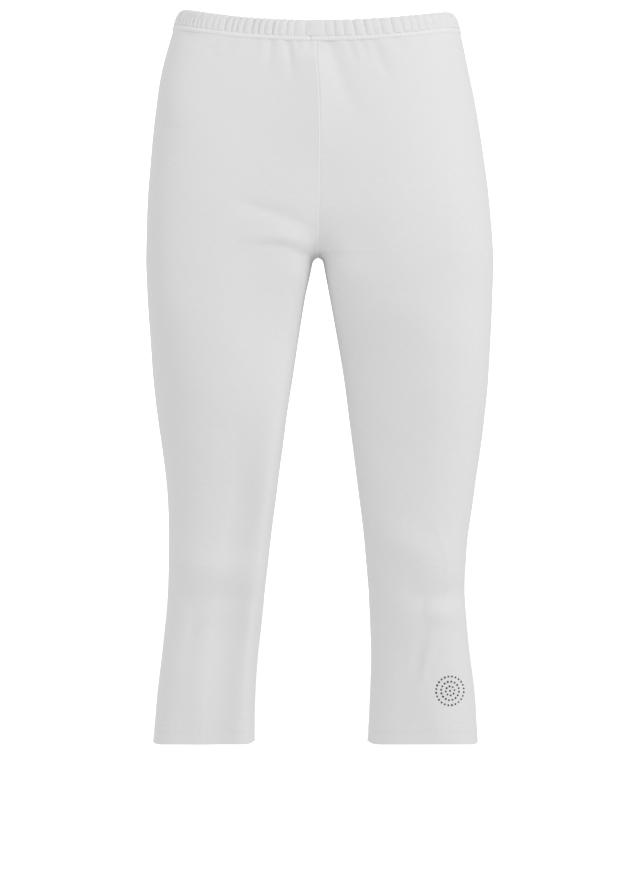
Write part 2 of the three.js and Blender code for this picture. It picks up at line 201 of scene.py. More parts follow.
SECTIONS = (
    Section(0, 138, 137.5, -96, 100, 2, 2.15, 2.8, 6.0, 2.2, 2.2, axis=12),
    Section(-15, 143.5, 143.8, -98, 102, 2, 2.15, 2.8, 6.2, 2.2, 2.2, axis=12),
    Section(-32, 148, 148.5, -100, 105, 3, 2.15, 2.8, 6.2, 2.2, 2.2, axis=12),
    Section(-60, 154, 155.2, -103, 110, 3, 2.15, 2.8, 6.2, 2.2, 2.2, axis=13),
    Section(-95, 161, 162.0, -106, 118, 4, 2.2, 2.8, 6.0, 2.2, 2.2, axis=17),
    Section(-145, 169.4, 168.8, -106, 126, 6, 2.3, 2.8, 6.0, 2.6, 2.6, axis=38),
    Section(-200, 176.3, 173.2, -102, 126, 7, 2.5, 2.9, 5.8, 3.7, 3.7, axis=70),
    Section(-255, 180, 174.8, -94, 111, 6, 2.6, 2.9, 5.0, 5.8, 5.8, 98, 0, 0, 12, 9, 0, 0),
    Section(-275, 179.8, 175.0, -91, 104, 5, 2.5, 2.9, 4.6, 6.8, 6.8, None, 3.5, 3.7, 17, 8, 0.04, 0.03),
    Section(-300, 179.2, 174.2, -88, 97, 4, 2.4, 2.8, 4.2, 8.0, 8.0, None, 8, 9, 20, 7, 0.2, 0.13),
    Section(-350, 177, 171.6, -82, 86, 2, 2.3, 2.8, 3.1, 9.0, 8.5, None, 16.8, 17, 21, -6, 0.46, 0.18),
    Section(-402, 172.9, 167.1, -76, 76, 0, 2.2, 2.7, 2.5, 8.0, 7.5, None, 24.8, 24.8, 20, -13, 0.5, 0.02),
    Section(-453, 166.9, 160.2, -68, 69, 0, 2.2, 2.6, 2.4, 6.5, 6.0, None, 31.5, 32, 19, -15, 0.5, -0.16),
    Section(-505, 159.4, 154.6, -61, 62, 0, 2.2, 2.5, 2.4, 5, 5, None, 37.8, 38.8, 17, -14, 0.44, -0.28),
    Section(-550, 153.4, 153.7, -57, 57, 0, 2.2, 2.5, 2.4, 3.6, 4.8, None, 42.8, 44, 14, -8, 0.38, -0.3),
    Section(-600, 151.7, 155, -54, 57, 1, 2.2, 2.6, 2.5, 3.4, 4.8, None, 47.2, 49.9, 14, -6, 0.42, -0.3),
    Section(-650, 154.8, 159.2, -51, 60, 3, 2.25, 2.6, 2.7, 3.4, 4.8, None, 49.6, 55.4, 14, -4, 0.44, -0.34),
    Section(-700, 160.8, 164.7, -50, 61, 4, 2.35, 2.7, 3.0, 3.4, 4.8, None, 49, 59.5, 13, -2, 0.42, -0.38),
    Section(-757, 164.7, 170, -49, 58, 4, 2.6, 2.8, 3.2, 3.4, 4.8, None, 46.4, 61, 12, -2, 0.4, -0.36),
)


@dataclass(frozen=True)
class Oval:
    """The ovals of one side at many heights; each field is an array over them.

    front_start and back_start are the angles, from the inner edge, at which the oval
    meets the centre plane in front and at the back.
    """

    bridge: Array
    power: Array
    corner: Array
    inside: Array
    rake: Array
    centre: Array
    middle: Array
    inner: Array
    outer: Array
    front: Array
    back: Array
    front_start: Array
    back_start: Array


@dataclass(frozen=True)
class BodyForm:
    """The filled-out shape of the leggings, as a function of column and height.

    At every height a leg's section is an oval of four quarters about the leg's axis, each
    as square as its power makes it. Above the fork it is cut off at the centre plane, and
    its inner quarters open out until front and back run straight across. Column 0 is the
    front seam, 0.5 the outer side and 1 the back seam; below the fork columns 0 and 1 are
    both the inseam.
    """

    fork_z: float = -254.5
    hem_z: float = -757.0
    panel_top_z: float = -21.9
    # The waist's edge: down in front, scooped in front and at the back, round at the sides.
    waist_tilt: float = 12.4
    front_scoop: float = 9.4
    back_scoop: float = 14.0
    corner_drop: float = 0.24
    corner_round: float = 3.6
    corner_round_power: float = 20.0
    # The hem's line: up in front, and at its inner and outer edges.
    hem_front_rise: float = 5.5
    hem_edge_lift: float = 3.8
    hem_edge_power: float = 18.0
    # The bridge rounds off the crease at the centre plane, and the arch the fork's top.
    bridge: float = 7.0
    bridge_top_z: float = -95.0
    bridge_full_z: float = -185.0
    bridge_end_z: float = -340.0
    arch_radius: float = 5.3
    # The rise starts to turn under the body at this height, over this softness.
    rise_turn_z: float = -205.0
    rise_turn_softness: float = 16.0
    body_reach: float = 150.0
    # How columns crowd at the seams, how rows crowd at the fork, and how far the waist's
    # and the hem's lines reach into the rows.
    seam_crowding: float = 0.35
    fan_reach: float = 110.0
    fan_power: float = 1.35
    waist_blend: float = 70.0
    hem_blend: float = 60.0
    sections: tuple[Section, ...] = SECTIONS

    def curve(self, name: str, z: Array) -> Array:
        """Read one column of the sections at many heights.

        Between rows the value is a cubic whose slopes come from the rows on either side.

        Args:
            name: the Section field to read.
            z: heights.

        Returns:
            The field's value at each height.
        """
        rows = [row for row in self.sections if getattr(row, name) is not None]
        zs = np.array([row.z for row in rows], float)
        values = np.array([getattr(row, name) for row in rows], float)
        before = np.maximum(np.arange(len(rows)) - 1, 0)
        after = np.minimum(np.arange(len(rows)) + 1, len(rows) - 1)
        slopes = (values[after] - values[before]) / (zs[after] - zs[before])
        height = np.clip(z, zs[-1], zs[0])
        i = np.clip(np.searchsorted(-zs, -height, side="right") - 1, 0, len(rows) - 2)
        span = zs[i + 1] - zs[i]
        t = (height - zs[i]) / span
        return cubic(t, values[i], values[i + 1], slopes[i] * span, slopes[i + 1] * span)

    def rise_turn(self, z: Array) -> Array:
        """Share of the way from where the rise turns under (0) down to the fork (1)."""

        def ramp(x: Array | float) -> Array:
            """Half of a hyperbola: near 0 below 0, and near x above it."""
            return (x + np.hypot(x, self.rise_turn_softness)) / 2

        return np.minimum(1.0, ramp(self.rise_turn_z - z) / ramp(self.rise_turn_z - self.fork_z))

    def oval(self, side: Side, z: Array) -> Oval:
        """Work out a side's ovals at many heights."""
        edge = "left" if side is Side.LEFT else "right"
        into = ease((self.bridge_top_z - z) / (self.bridge_top_z - self.bridge_full_z))
        out_of = ease((z - self.bridge_end_z) / (self.fork_z - self.bridge_end_z))
        bridge = self.bridge * into * out_of
        power = self.curve("power", z)
        middle = self.curve("middle", z)
        outer = np.hypot(self.curve(edge, z), bridge)
        axis = self.curve("axis", z)

        turn = self.rise_turn(z)
        body_reach = turn + (axis - bridge) / self.body_reach * (1 - turn)
        below = self.fork_z - z
        sink = np.clip(below / self.arch_radius, 0.0, 1.0)
        arch = np.sqrt(1 - (1 - sink) ** 2) * self.arch_radius
        inner_x = np.hypot(arch + np.maximum(0.0, self.curve("inner_" + edge, z)), bridge)
        on_axis = ease(below / self.fan_reach)
        shin = self.curve("shin_" + edge, z)
        leg_centre = axis + ((inner_x + outer) * 0.5 + shin - axis) * on_axis

        above = z > self.fork_z
        centre = np.where(above, axis, leg_centre)
        reach = np.where(above, body_reach, 1.0)
        inner = np.where(above, (axis - bridge) / body_reach, leg_centre - inner_x)
        front, back = middle - self.curve("front", z), self.curve("back", z) - middle
        inside = self.curve("inside_" + edge, z)
        reach = np.clip(reach, 0.0, 1.0)
        front_start = np.arctan2(front * (1 - reach**inside) ** (1 / inside), inner * reach)
        back_start = np.arctan2(back * (1 - reach**power) ** (1 / power), inner * reach)
        corner = self.curve("corner_" + edge, z)
        rake = np.where(above, 0.0, self.curve("rake_" + edge, z))
        return Oval(
            bridge, power, corner, inside, rake, centre, middle, inner, outer - centre, front,
            back, front_start, back_start,
        )

    def points(self, side: Side, u: Array, z: Array) -> Array:
        """Find points of the smooth form.

        A point lies at its column's angle about the oval's centre, where the shares of the
        half width and half depth, each raised to the quarter's power, add up to 1. The
        bridge then rounds off the crease at the centre plane: x becomes the root of x
        squared less the bridge squared.

        Args:
            side: the side to work out.
            u: columns, 0 to 1.
            z: heights, of the same shape as u.

        Returns:
            Points in millimetres, with a last axis of three.
        """
        o = self.oval(side, z)

        def spread(share: Array, start: Array) -> Array:
            """Angle at a share of the way from the seam to the side, crowded at the seam."""
            x, low, high = np.pi * share - start, -start, np.pi - start
            bend = [(v + np.hypot(v, self.seam_crowding)) / 2 for v in (x, low, high)]
            return start + (bend[0] - bend[1]) / (bend[2] - bend[1]) * (np.pi - start)

        angle = np.where(
            u <= 0.5,
            spread(2 * u, o.front_start),
            2 * np.pi - spread(2 - 2 * u, o.back_start),
        )
        c, s = np.cos(angle), np.sin(angle)
        half_width = np.where(c > 0, o.inner, o.outer)
        half_depth = np.where(s > 0, o.front, o.back)
        power = np.where(s > 0, np.where(c < 0, o.corner, o.inside), o.power)
        span = (np.abs(c / half_width) ** power + np.abs(s / half_depth) ** power) ** (-1 / power)
        inward = np.where(s > 0, np.maximum(0.0, c * span / o.inner), 0.0)
        raw = o.centre - c * span
        y = o.middle - s * span * (1 - o.rake * inward**1.5)
        x = np.sqrt(np.maximum(0.0, raw**2 - o.bridge**2))
        return np.stack([side.value * x, y, z], axis=-1)

    def normals(self, side: Side, u: Array, z: Array) -> Array:
        """Outward normals of the form, from its slopes round the leg and down it."""
        du, dz = 0.002, 1.0
        low = np.where(z > self.fork_z, np.maximum(z - dz, self.fork_z + 0.01), z - dz)
        low = np.maximum(low, self.hem_z - 1.0)
        high = np.where(z > self.fork_z, low + 2 * dz, np.minimum(low + 2 * dz, self.fork_z))
        before, after = np.maximum(u - du, 0.0), np.minimum(u + du, 1.0)
        around = self.points(side, after, z) - self.points(side, before, z)
        up = self.points(side, u, high) - self.points(side, u, low)
        return unit(np.cross(around, up) * side.value)

    def shares(self, side: Side, u: Array, z: Array) -> tuple[Array, Array, Array]:
        """Where a column stands at a height: shares of the way to the section's edges.

        Returns:
            The share of the way from the centre plane to the outer edge, the share from
            the leg's axis to its inner or outer edge, and the share to the front edge.
        """
        o = self.oval(side, z)
        point = self.points(side, u, z)
        across = np.abs(point[..., 0])
        off_axis = across - o.centre
        edge = np.where(off_axis > 0, o.outer, o.inner)
        forward = (o.middle - point[..., 1]) / o.front
        return across / (o.centre + o.outer), np.minimum(np.abs(off_axis) / edge, 1.0), forward

    def waist_dip(self, side: Side, u: Array) -> Array:
        """Height of the waist's top edge: it tilts down in front and is scooped besides."""
        out, _, forward = self.shares(side, u, np.full_like(u, self.panel_top_z))
        round_about = np.sqrt(np.maximum(0.0, 1 - out**2))
        in_front = round_about + self.corner_drop * (np.maximum(forward, 0.0) - round_about)
        facing = np.where(u < 0.5, in_front, -round_about)
        scoop = np.where(facing > 0, self.front_scoop, self.back_scoop)
        corner = self.corner_round * np.minimum(out, 1.0) ** self.corner_round_power
        return -self.waist_tilt * facing - scoop * facing**2 - corner

    def hem_lift(self, side: Side, u: Array) -> Array:
        """Height of the hem over its lowest line: up in front and at its two edges."""
        _, edge, forward = self.shares(side, u, np.full_like(u, self.hem_z))
        return self.hem_front_rise * np.maximum(0.0, forward) + (
            self.hem_edge_lift * edge**self.hem_edge_power
        )

    def row_height(self, side: Side, level: Array, u: Array) -> Array:
        """Height of a panel's row at each column.

        Rows run level round the leg. Near the fork they crowd together at the seams, where
        the distance from the fork is raised to a power, and at the top and bottom they
        follow the waist's dip and the hem's lift.
        """
        off = level - self.fork_z
        crowded = np.sign(off) * self.fan_reach * (np.abs(off) / self.fan_reach) ** self.fan_power
        at_seam = np.cos(np.pi * u) ** 2
        z = np.where(np.abs(off) < self.fan_reach, level + at_seam * (crowded - off), level)
        dip = self.waist_dip(side, u) * (1 - ease((self.panel_top_z - z) / self.waist_blend))
        lift = self.hem_lift(side, u) * (1 - ease((z - self.hem_z) / self.hem_blend))
        return z + dip + lift


# ---------------------------------------------------------------------------
# Creases
# ---------------------------------------------------------------------------


@dataclass(frozen=True)
class Crease:
    """A soft trough (depth below 0) or ridge in the cloth.

    path holds (across, height) points: millimetres from the centre plane, and height.
    """

    side: Side
    face: Face
    path: tuple[tuple[float, float], ...]
    width: float
    depth: float
    fade: Fade = Fade.BOTH_ENDS

    def push(self, points: Array) -> Array:
        """Work out how far this crease moves each point along its normal.

        The crease's path is laid on the cloth, and the push falls off as the exponential
        of minus the squared distance from it, over its width. Along the path it follows
        half a sine wave, or fades from its first point to its last.

        Args:
            points: the cloth's points, one in each row.

        Returns:
            The push at each point.
        """
        line = smooth_line(np.array(self.path, float), min(3.0, self.width * 0.4))
        line[:, 0] *= self.side.value
        lowest, highest = line.min(0) - 4 * self.width, line.max(0) + 4 * self.width
        near = (
            (points[:, 1] * self.face.value > 0)
            & (points[:, 0] > lowest[0])
            & (points[:, 0] < highest[0])
            & (points[:, 2] > lowest[1])
            & (points[:, 2] < highest[1])
        )
        push = np.zeros(len(points))
        if not near.any():
            return push
        cloth = points[near]
        flat = cloth[:, [0, 2]]
        nearest = np.array([np.argmin(((flat - q) ** 2).sum(1)) for q in line])
        # the path's depth is that of the nearest cloth, as a running mean of nine samples
        padded = np.pad(cloth[nearest, 1], 4, mode="edge")
        depth_line = np.convolve(padded, np.ones(9) / 9, mode="valid")
        path = np.column_stack([line[:, 0], depth_line, line[:, 1]])
        gaps = np.linalg.norm(cloth[:, None, :] - path[None, :, :], axis=2)
        k = gaps.argmin(1)
        t = k / (len(path) - 1)
        if self.fade is Fade.BOTH_ENDS:
            share = np.sin(np.pi * np.clip(t, 0.0, 1.0)) ** 0.8
        else:
            share = (1 - ease(t)) ** 0.9
        push[near] = self.depth * share * np.exp(-((gaps.min(1) / self.width) ** 2))
        return push


DOWN = Fade.DOWNWARDS


def creases(side: Side, face: Face, *rows: tuple[Any, ...]) -> tuple[Crease, ...]:
    """Make one side's creases of a face from rows of path, width, depth and fade."""
    return tuple(Crease(side, face, *row) for row in rows)


# Creases that the gathered waist sends down into the front, uneven as they fall.
WAIST_CREASES = (
    *creases(
        Side.RIGHT, Face.FRONT,
        (((136, -34), (144, -70), (150, -130)), 28.0, 4.2),
        (((131, -30), (134, -42)), 3.0, -2.5, DOWN),
        (((122, -30), (127, -50)), 3.0, -2.1, DOWN),
        (((108, -46), (96, -66)), 2.0, -1.3),
        (((83, -36), (88, -52), (96, -66)), 3.0, -1.8, DOWN),
        (((70, -38), (71, -48)), 2.4, -1.1, DOWN),
        (((59, -38), (67, -62)), 3.2, -2.0, DOWN),
        (((46, -38), (48, -57), (51, -82)), 3.2, -3.2, DOWN),
        (((30, -40), (28, -57), (25, -94)), 3.6, -3.2, DOWN),
        (((19, -41), (18, -54)), 2.6, -2.0, DOWN),
        (((7, -41), (8, -58)), 3.4, -2.0, DOWN),
    ),
    *creases(
        Side.LEFT, Face.FRONT,
        (((13, -41), (14, -53)), 2.6, -1.4, DOWN),
        (((12, -40), (21, -77), (29, -98), (44, -122), (52, -150)), 9.0, -2.8, DOWN),
        (((31, -40), (39, -72)), 3.4, -2.5, DOWN),
        (((42, -40), (55, -73)), 3.6, -2.7, DOWN),
        (((53, -39), (67, -74), (79, -97)), 4.6, -2.8, DOWN),
        (((77, -38), (88, -62)), 3.6, -1.7, DOWN),
    ),
)

# Folds drawn from the fork across the thighs, and the cloth's set over the knees.
LEG_CREASES = (
    *creases(
        Side.RIGHT, Face.FRONT,
        (((118, -90), (112, -180), (106, -260), (106, -340), (110, -430)), 42.0, 4.6),
        (((86, -202), (57, -213), (42, -217), (17, -227), (4, -234)), 7.5, -2.7),
        (((70, -214), (44, -226), (12, -242)), 18.0, 1.4),
        (((82, -240), (57, -239), (42, -239), (17, -244), (3, -249)), 7.0, 2.4),
        (((64, -249), (42, -248), (17, -255), (6, -262)), 5.0, -1.2),
        (((70, -450), (74, -520), (82, -600), (92, -670), (96, -800)), 17.0, -2.8),
        (((52, -574), (98, -572), (146, -575)), 17.0, 4.0),
        (((52, -606), (98, -603), (146, -605)), 11.0, -1.8),
        (((52, -640), (98, -637), (150, -641)), 28.0, -3.2),
        (((128, -598), (128, -640), (138, -676)), 9.0, -1.8),
        (((112, -616), (116, -670), (120, -780)), 14.0, 3.4),
    ),
    *creases(
        Side.LEFT, Face.FRONT,
        (((6, -232), (28, -236), (60, -250)), 15.0, -1.2),
        (((62, -180), (74, -228), (84, -290)), 32.0, 4.2),
        (((56, -540), (88, -548), (116, -562), (148, -572)), 19.0, 3.4),
        (((84, -592), (107, -603), (127, -602), (150, -597), (176, -588)), 12.0, -3.4),
        (((116, -520), (130, -560), (131, -606)), 3.4, 0.9),
        (((106, -612), (124, -618), (144, -618)), 11.0, 2.8),
        (((113, -624), (104, -650), (96, -688)), 6.0, -2.2),
        (((118, -640), (110, -664), (106, -690)), 3.4, 1.0),
        (((127, -645), (117, -670), (110, -690)), 3.6, -1.2),
        (((140, -632), (128, -664), (121, -682)), 3.6, -1.0),
        (((124, -690), (122, -720), (122, -752)), 14.0, 2.2),
        (((92, -640), (88, -690), (88, -752)), 12.0, -1.4),
    ),
)

# The hidden side: the seat's folds, the backs of the knees and the calves.
BACK_CREASES = (
    *creases(
        Side.RIGHT, Face.BACK,
        (((8, -258), (50, -272), (112, -266)), 9.0, -2.6),
        (((20, -288), (58, -296), (90, -294)), 7.0, -1.4),
        (((60, -552), (100, -560), (142, -556)), 7.0, -2.6),
        (((66, -576), (98, -582), (136, -574)), 6.0, -1.9),
        (((70, -532), (104, -536), (134, -530)), 6.0, -1.2),
        (((112, -640), (116, -690), (112, -744)), 10.0, 1.4),
        (((16, -44), (20, -66), (26, -92)), 4.0, -1.4, DOWN),
        (((44, -42), (50, -62)), 3.6, -1.1, DOWN),
        (((66, -40), (70, -68)), 4.0, -1.3, DOWN),
        (((92, -38), (92, -56)), 3.4, -0.9, DOWN),
    ),
    *creases(
        Side.LEFT, Face.BACK,
        (((8, -258), (56, -275), (116, -270)), 9.0, -2.8),
        (((24, -292), (64, -299), (98, -292)), 7.0, -1.2),
        (((58, -556), (98, -562), (138, -552)), 7.0, -2.6),
        (((64, -580), (104, -588), (132, -582)), 6.0, -1.8),
        (((66, -534), (98, -540), (130, -536)), 6.0, -1.2),
        (((108, -640), (112, -690), (110, -744)), 10.0, 1.4),
        (((22, -44), (24, -72)), 4.0, -1.3, DOWN),
        (((40, -43), (48, -60)), 3.4, -1.0, DOWN),
        (((60, -41), (66, -78)), 4.2, -1.3, DOWN),
        (((86, -39), (90, -58)), 3.6, -1.0, DOWN),
    ),
)


# ---------------------------------------------------------------------------
# Meshes from grids of points
# ---------------------------------------------------------------------------


def cells(rows: int, columns: int) -> tuple[Array, Array]:
    """Row numbers and column numbers of the four corners of each cell of a grid."""
    row, column = np.meshgrid(np.arange(rows - 1), np.arange(columns - 1), indexing="ij")
    return row.reshape(-1, 1) + [0, 1, 1, 0], column.reshape(-1, 1) + [0, 0, 1, 1]


def ring_numbers(rings: int, around: int) -> Array:
    """Point numbers of a stack of closed rings, each with its first again at its end."""
    number = np.arange(rings * around).reshape(rings, around)
    return np.concatenate([number, number[:, :1]], axis=1)


def grid_uv(down: Array, across: Array) -> Array:
    """Cloth coordinates in metres of a grid with these distances in millimetres."""
    return np.stack(np.meshgrid(down, across, indexing="ij"), axis=-1) * MM


def set_out(origins: Array, axes: tuple[Array, ...], offsets: tuple[Array, ...]) -> Array:
    """Set a pattern of points out from each of many places.

    Args:
        origins: the places, one in each row.
        axes: directions of the offsets, each with a vector for every place.
        offsets: distances along each axis, for the pattern's points or for every place's.

    Returns:
        Points as places x pattern x 3.
    """
    points = origins[:, None, :]
    for axis, offset in zip(axes, offsets):
        points = points + axis[:, None, :] * np.asarray(offset)[..., None]
    return points


def show(name: str, data: bpy.types.ID) -> bpy.types.Object:
    """Put a mesh, light or camera into the scene as an object."""
    made = bpy.data.objects.new(name, data)
    bpy.context.scene.collection.objects.link(made)
    return made


def new_object(
    name: str, vertices: Array, faces: Array, uv: Array | None = None
) -> bpy.types.Object:
    """Make a mesh object from points and faces.

    Args:
        name: the piece's name.
        vertices: points in millimetres.
        faces: the point numbers of each face.
        uv: a coordinate for each face corner, in metres along the cloth.

    Returns:
        The object, linked to the scene and shaded smooth, with creased rims kept sharp.
    """
    mesh = bpy.data.meshes.new(name)
    mesh.from_pydata((vertices * MM).tolist(), [], faces.tolist())
    if uv is not None:
        layer = mesh.uv_layers.new(name="cloth")
        layer.data.foreach_set("uv", uv.reshape(-1).astype(np.float32))
    mesh.polygons.foreach_set("use_smooth", np.ones(len(mesh.polygons), dtype=bool))
    mesh.set_sharp_from_angle(angle=math.radians(55))
    mesh.update()
    return show(name, mesh)


@dataclass
class Shell:
    """A closed thin wall between an outer and an inner grid of points.

    welded tells, for each row, whether the row's last column is its first, as on a tube.
    """

    name: str
    outer: Array
    inner: Array
    uv: Array
    welded: Array

    def build(self, mirrored: bool) -> bpy.types.Object:
        """Make the wall's two faces and its rims.

        Args:
            mirrored: whether the grid runs the other way round, so that faces are turned.

        Returns:
            The finished object.
        """
        rows, columns = self.outer.shape[:2]
        number = np.arange(rows * columns).reshape(rows, columns)
        number[self.welded, -1] = number[self.welded, 0]
        inner_number = number + rows * columns
        at = cells(rows, columns)
        faces = [number[at], inner_number[at][:, ::-1]]
        uvs = [self.uv[at], self.uv[at][:, ::-1]]

        def rim(path: Array, flipped: bool) -> None:
            """Close the wall along a line of (row, column) pairs."""
            here, there = tuple(path[:-1].T), tuple(path[1:].T)
            corners = (number[here], number[there], inner_number[there], inner_number[here])
            turn = slice(None, None, -1 if flipped else 1)
            faces.append(np.stack(corners, axis=1)[:, turn])
            uvs.append(np.stack([self.uv[end] for end in (here, there, there, here)], 1)[:, turn])

        across = np.arange(columns)
        rim(np.stack([np.zeros_like(across), across], 1), False)
        rim(np.stack([np.full_like(across, rows - 1), across], 1), True)
        open_rows = int((~self.welded).sum())
        if open_rows:
            down = np.arange(min(open_rows + 1, rows))
            rim(np.stack([down, np.zeros_like(down)], 1), True)
            rim(np.stack([down, np.full_like(down, columns - 1)], 1), False)

        quads, corner_uv = np.concatenate(faces), np.concatenate(uvs)
        used, quads = np.unique(quads, return_inverse=True)
        quads = quads.reshape(-1, 4)
        points = np.concatenate([self.outer.reshape(-1, 3), self.inner.reshape(-1, 3)])[used]
        if mirrored:
            quads, corner_uv = quads[:, ::-1], corner_uv[:, ::-1]
        return new_object(self.name, points, quads, corner_uv)


def turn_outwards(mesh: bpy.types.Mesh, open_ends: tuple[Array, ...] = ()) -> None:
    """Turn every face of a mesh outwards, once its open ends are closed.

    Args:
        mesh: the mesh to change.
        open_ends: rings of point numbers, each closed with a fan from its middle.
    """
    work = bmesh.new()
    work.from_mesh(mesh)
    work.verts.ensure_lookup_table()
    for corners in [[work.verts[int(i)] for i in ring] for ring in open_ends]:
        middle = work.verts.new(sum((v.co for v in corners), corners[0].co * 0) / len(corners))
        for a, b in zip(corners, corners[1:] + corners[:1]):
            work.faces.new((a, b, middle))
    bmesh.ops.recalc_face_normals(work, faces=work.faces)
    work.to_mesh(mesh)
    work.free()


def tube(name: str, rings: Array, uv: Array, closed_on_itself: bool) -> bpy.types.Object:
    """Make a tube from rings of points that each close on themselves.

    Args:
        name: the piece's name.
        rings: points as steps along x points round x 3.
        uv: coordinates as steps along x (points round + 1) x 2.
        closed_on_itself: join the last ring to the first, or else cap both ends.

    Returns:
        The finished object.
    """
    number = ring_numbers(*rings.shape[:2])
    ends = (number[0, :-1], number[-1, :-1])
    if closed_on_itself:
        number = np.concatenate([number, number[:1]], axis=0)
        uv = np.concatenate([uv, uv[-1:] + (uv[-1:] - uv[-2:-1])], axis=0)
    at = cells(*number.shape)
    points = rings.reshape(-1, 3)
    if closed_on_itself:
        return new_object(name, points, number[at][:, ::-1], uv[at][:, ::-1])
    made = new_object(name, points, number[at], uv[at])
    turn_outwards(made.data, ends)
    return made


def scatter(name: str, bodies: Array, faces: Array, marks: Array) -> bpy.types.Object:
    """Join many copies of one small closed body into a mesh.

    Args:
        name: the piece's name.
        bodies: each copy's points, as copies x points x 3.
        faces: the quads of one copy.
        marks: a coordinate along the cloth for each copy, in metres.

    Returns:
        The finished object.
    """
    copies, points = bodies.shape[:2]
    quads = (faces[None] + (np.arange(copies) * points)[:, None, None]).reshape(-1, 4)
    uv = np.zeros((len(quads), 4, 2))
    uv[..., 0] = np.repeat(marks, len(faces))[:, None]
    made = new_object(name, bodies.reshape(-1, 3), quads, uv)
    turn_outwards(made.data)
    return made


# ---------------------------------------------------------------------------
# Finishes
# ---------------------------------------------------------------------------


def add_node(
    tree: bpy.types.NodeTree,
    kind: str,
    settings: dict[str, Any] | None = None,
    inputs: dict[str | int, Any] | None = None,
) -> bpy.types.Node:
    """Add a node with its settings and links.

    Args:
        tree: the node tree.
        kind: the node's type name.
        settings: node properties by name.
        inputs: values or output sockets by input name or number.

    Returns:
        The new node.
    """
    node = tree.nodes.new(kind)
    for name, value in (settings or {}).items():
        setattr(node, name, value)
    for name, value in (inputs or {}).items():
        if isinstance(value, bpy.types.NodeSocket):
            tree.links.new(value, node.inputs[name])
        else:
            node.inputs[name].default_value = value
    return node


@dataclass(frozen=True)
class Finish:
    """A material of one principled surface, whose inputs each real finish works out."""

    name: str

    def inputs(self, tree: bpy.types.NodeTree) -> dict[str, Any]:
        """Add the nodes that feed the surface, and return the surface's inputs."""
        raise NotImplementedError

    def build(self) -> bpy.types.Material:
        """Make the material."""
        material = bpy.data.materials.new(self.name)
        material.use_nodes = True
        tree = material.node_tree
        tree.nodes.clear()
        surface = add_node(tree, "ShaderNodeBsdfPrincipled", inputs=self.inputs(tree))
        add_node(tree, "ShaderNodeOutputMaterial", inputs={"Surface": surface.outputs[0]})
        return material


@dataclass(frozen=True)
class JerseyKnit(Finish):
    """White cotton single jersey with a little elastane: matt, with a faint fibre sheen.

    Real courses lie 0.6 mm apart, which is too fine to show at this size, so the streaks
    that uneven yarn leaves along the courses are drawn coarser, at the sizes below. The
    eye reads them as the softness of a fine knit.
    """

    name: str = "cotton_jersey_white"
    light: str = "#f2f2f2"
    dark: str = "#eeeeee"
    streak_height_mm: float = 1.5
    streak_length_mm: float = 9.0
    grain_mm: float = 1.4
    grain_share: float = 0.4
    bump_mm: float = 0.10
    roughness: float = 0.92
    sheen: float = 0.05

    def inputs(self, tree: bpy.types.NodeTree) -> dict[str, Any]:
        """Lay streaks along the courses, a fine grain, and a soft bump from both."""
        uv = add_node(tree, "ShaderNodeUVMap", {"uv_map": "cloth"}).outputs["UV"]
        noises = []
        for size, roughness in (
            ((self.streak_length_mm, self.streak_height_mm), 0.6),
            ((self.grain_mm, self.grain_mm), 0.7),
        ):
            scale = (1000 / size[0], 1000 / size[1], 1.0)
            place = add_node(tree, "ShaderNodeMapping", inputs={"Vector": uv, "Scale": scale})
            noise = add_node(
                tree, "ShaderNodeTexNoise", {"noise_dimensions": "2D"},
                {"Vector": place.outputs[0], "Scale": 1.0, "Detail": 2.0, "Roughness": roughness},
            )
            noises.append(noise.outputs["Fac"])
        both = add_node(
            tree, "ShaderNodeMix", {"data_type": "FLOAT"},
            {0: self.grain_share, 2: noises[0], 3: noises[1]},
        ).outputs[0]
        spread = add_node(
            tree, "ShaderNodeMapRange", inputs={"Value": both, "From Min": 0.3, "From Max": 0.7}
        )
        colour = add_node(
            tree, "ShaderNodeMix", {"data_type": "RGBA"},
            {0: spread.outputs["Result"], 6: linear(self.dark), 7: linear(self.light)},
        )
        bump = add_node(
            tree, "ShaderNodeBump",
            inputs={"Strength": 0.6, "Distance": self.bump_mm * MM, "Height": both},
        )
        return {
            "Base Color": colour.outputs[2],
            "Roughness": self.roughness,
            "Specular IOR Level": 0.2,
            "Sheen Weight": self.sheen,
            "Sheen Roughness": 0.5,
            "Normal": bump.outputs["Normal"],
        }


@dataclass(frozen=True)
class SewingThread(Finish):
    """White polyester sewing thread: smoother than the jersey, with a low silky gloss.

    Its twist has a pitch of about 0.8 mm, drawn at twice that so that it shows. The eye
    reads its slanted bands as spun thread against the matt cloth.
    """

    name: str = "polyester_thread_white"
    light: str = "#fafafa"
    dark: str = "#f0f0f0"
    twist_mm: float = 1.6
    slant_degrees: float = 25.0
    roughness: float = 0.6

    def inputs(self, tree: bpy.types.NodeTree) -> dict[str, Any]:
        """Lay slanted light and dark bands of the twist."""
        uv = add_node(tree, "ShaderNodeUVMap", {"uv_map": "cloth"})
        turned = add_node(
            tree, "ShaderNodeMapping",
            inputs={
                "Vector": uv.outputs["UV"],
                "Rotation": (0.0, 0.0, math.radians(self.slant_degrees)),
                "Scale": (1000 / self.twist_mm,) * 3,
            },
        )
        twist = add_node(
            tree, "ShaderNodeTexWave", {"wave_type": "BANDS"},
            {"Vector": turned.outputs["Vector"], "Scale": 0.31, "Distortion": 0.6, "Detail": 1.0},
        )
        colour = add_node(
            tree, "ShaderNodeMix", {"data_type": "RGBA"},
            {0: twist.outputs["Fac"], 6: linear(self.dark), 7: linear(self.light)},
        )
        return {
            "Base Color": colour.outputs[2],
            "Roughness": self.roughness,
            "Specular IOR Level": 0.35,
            "Sheen Weight": 0.1,
        }


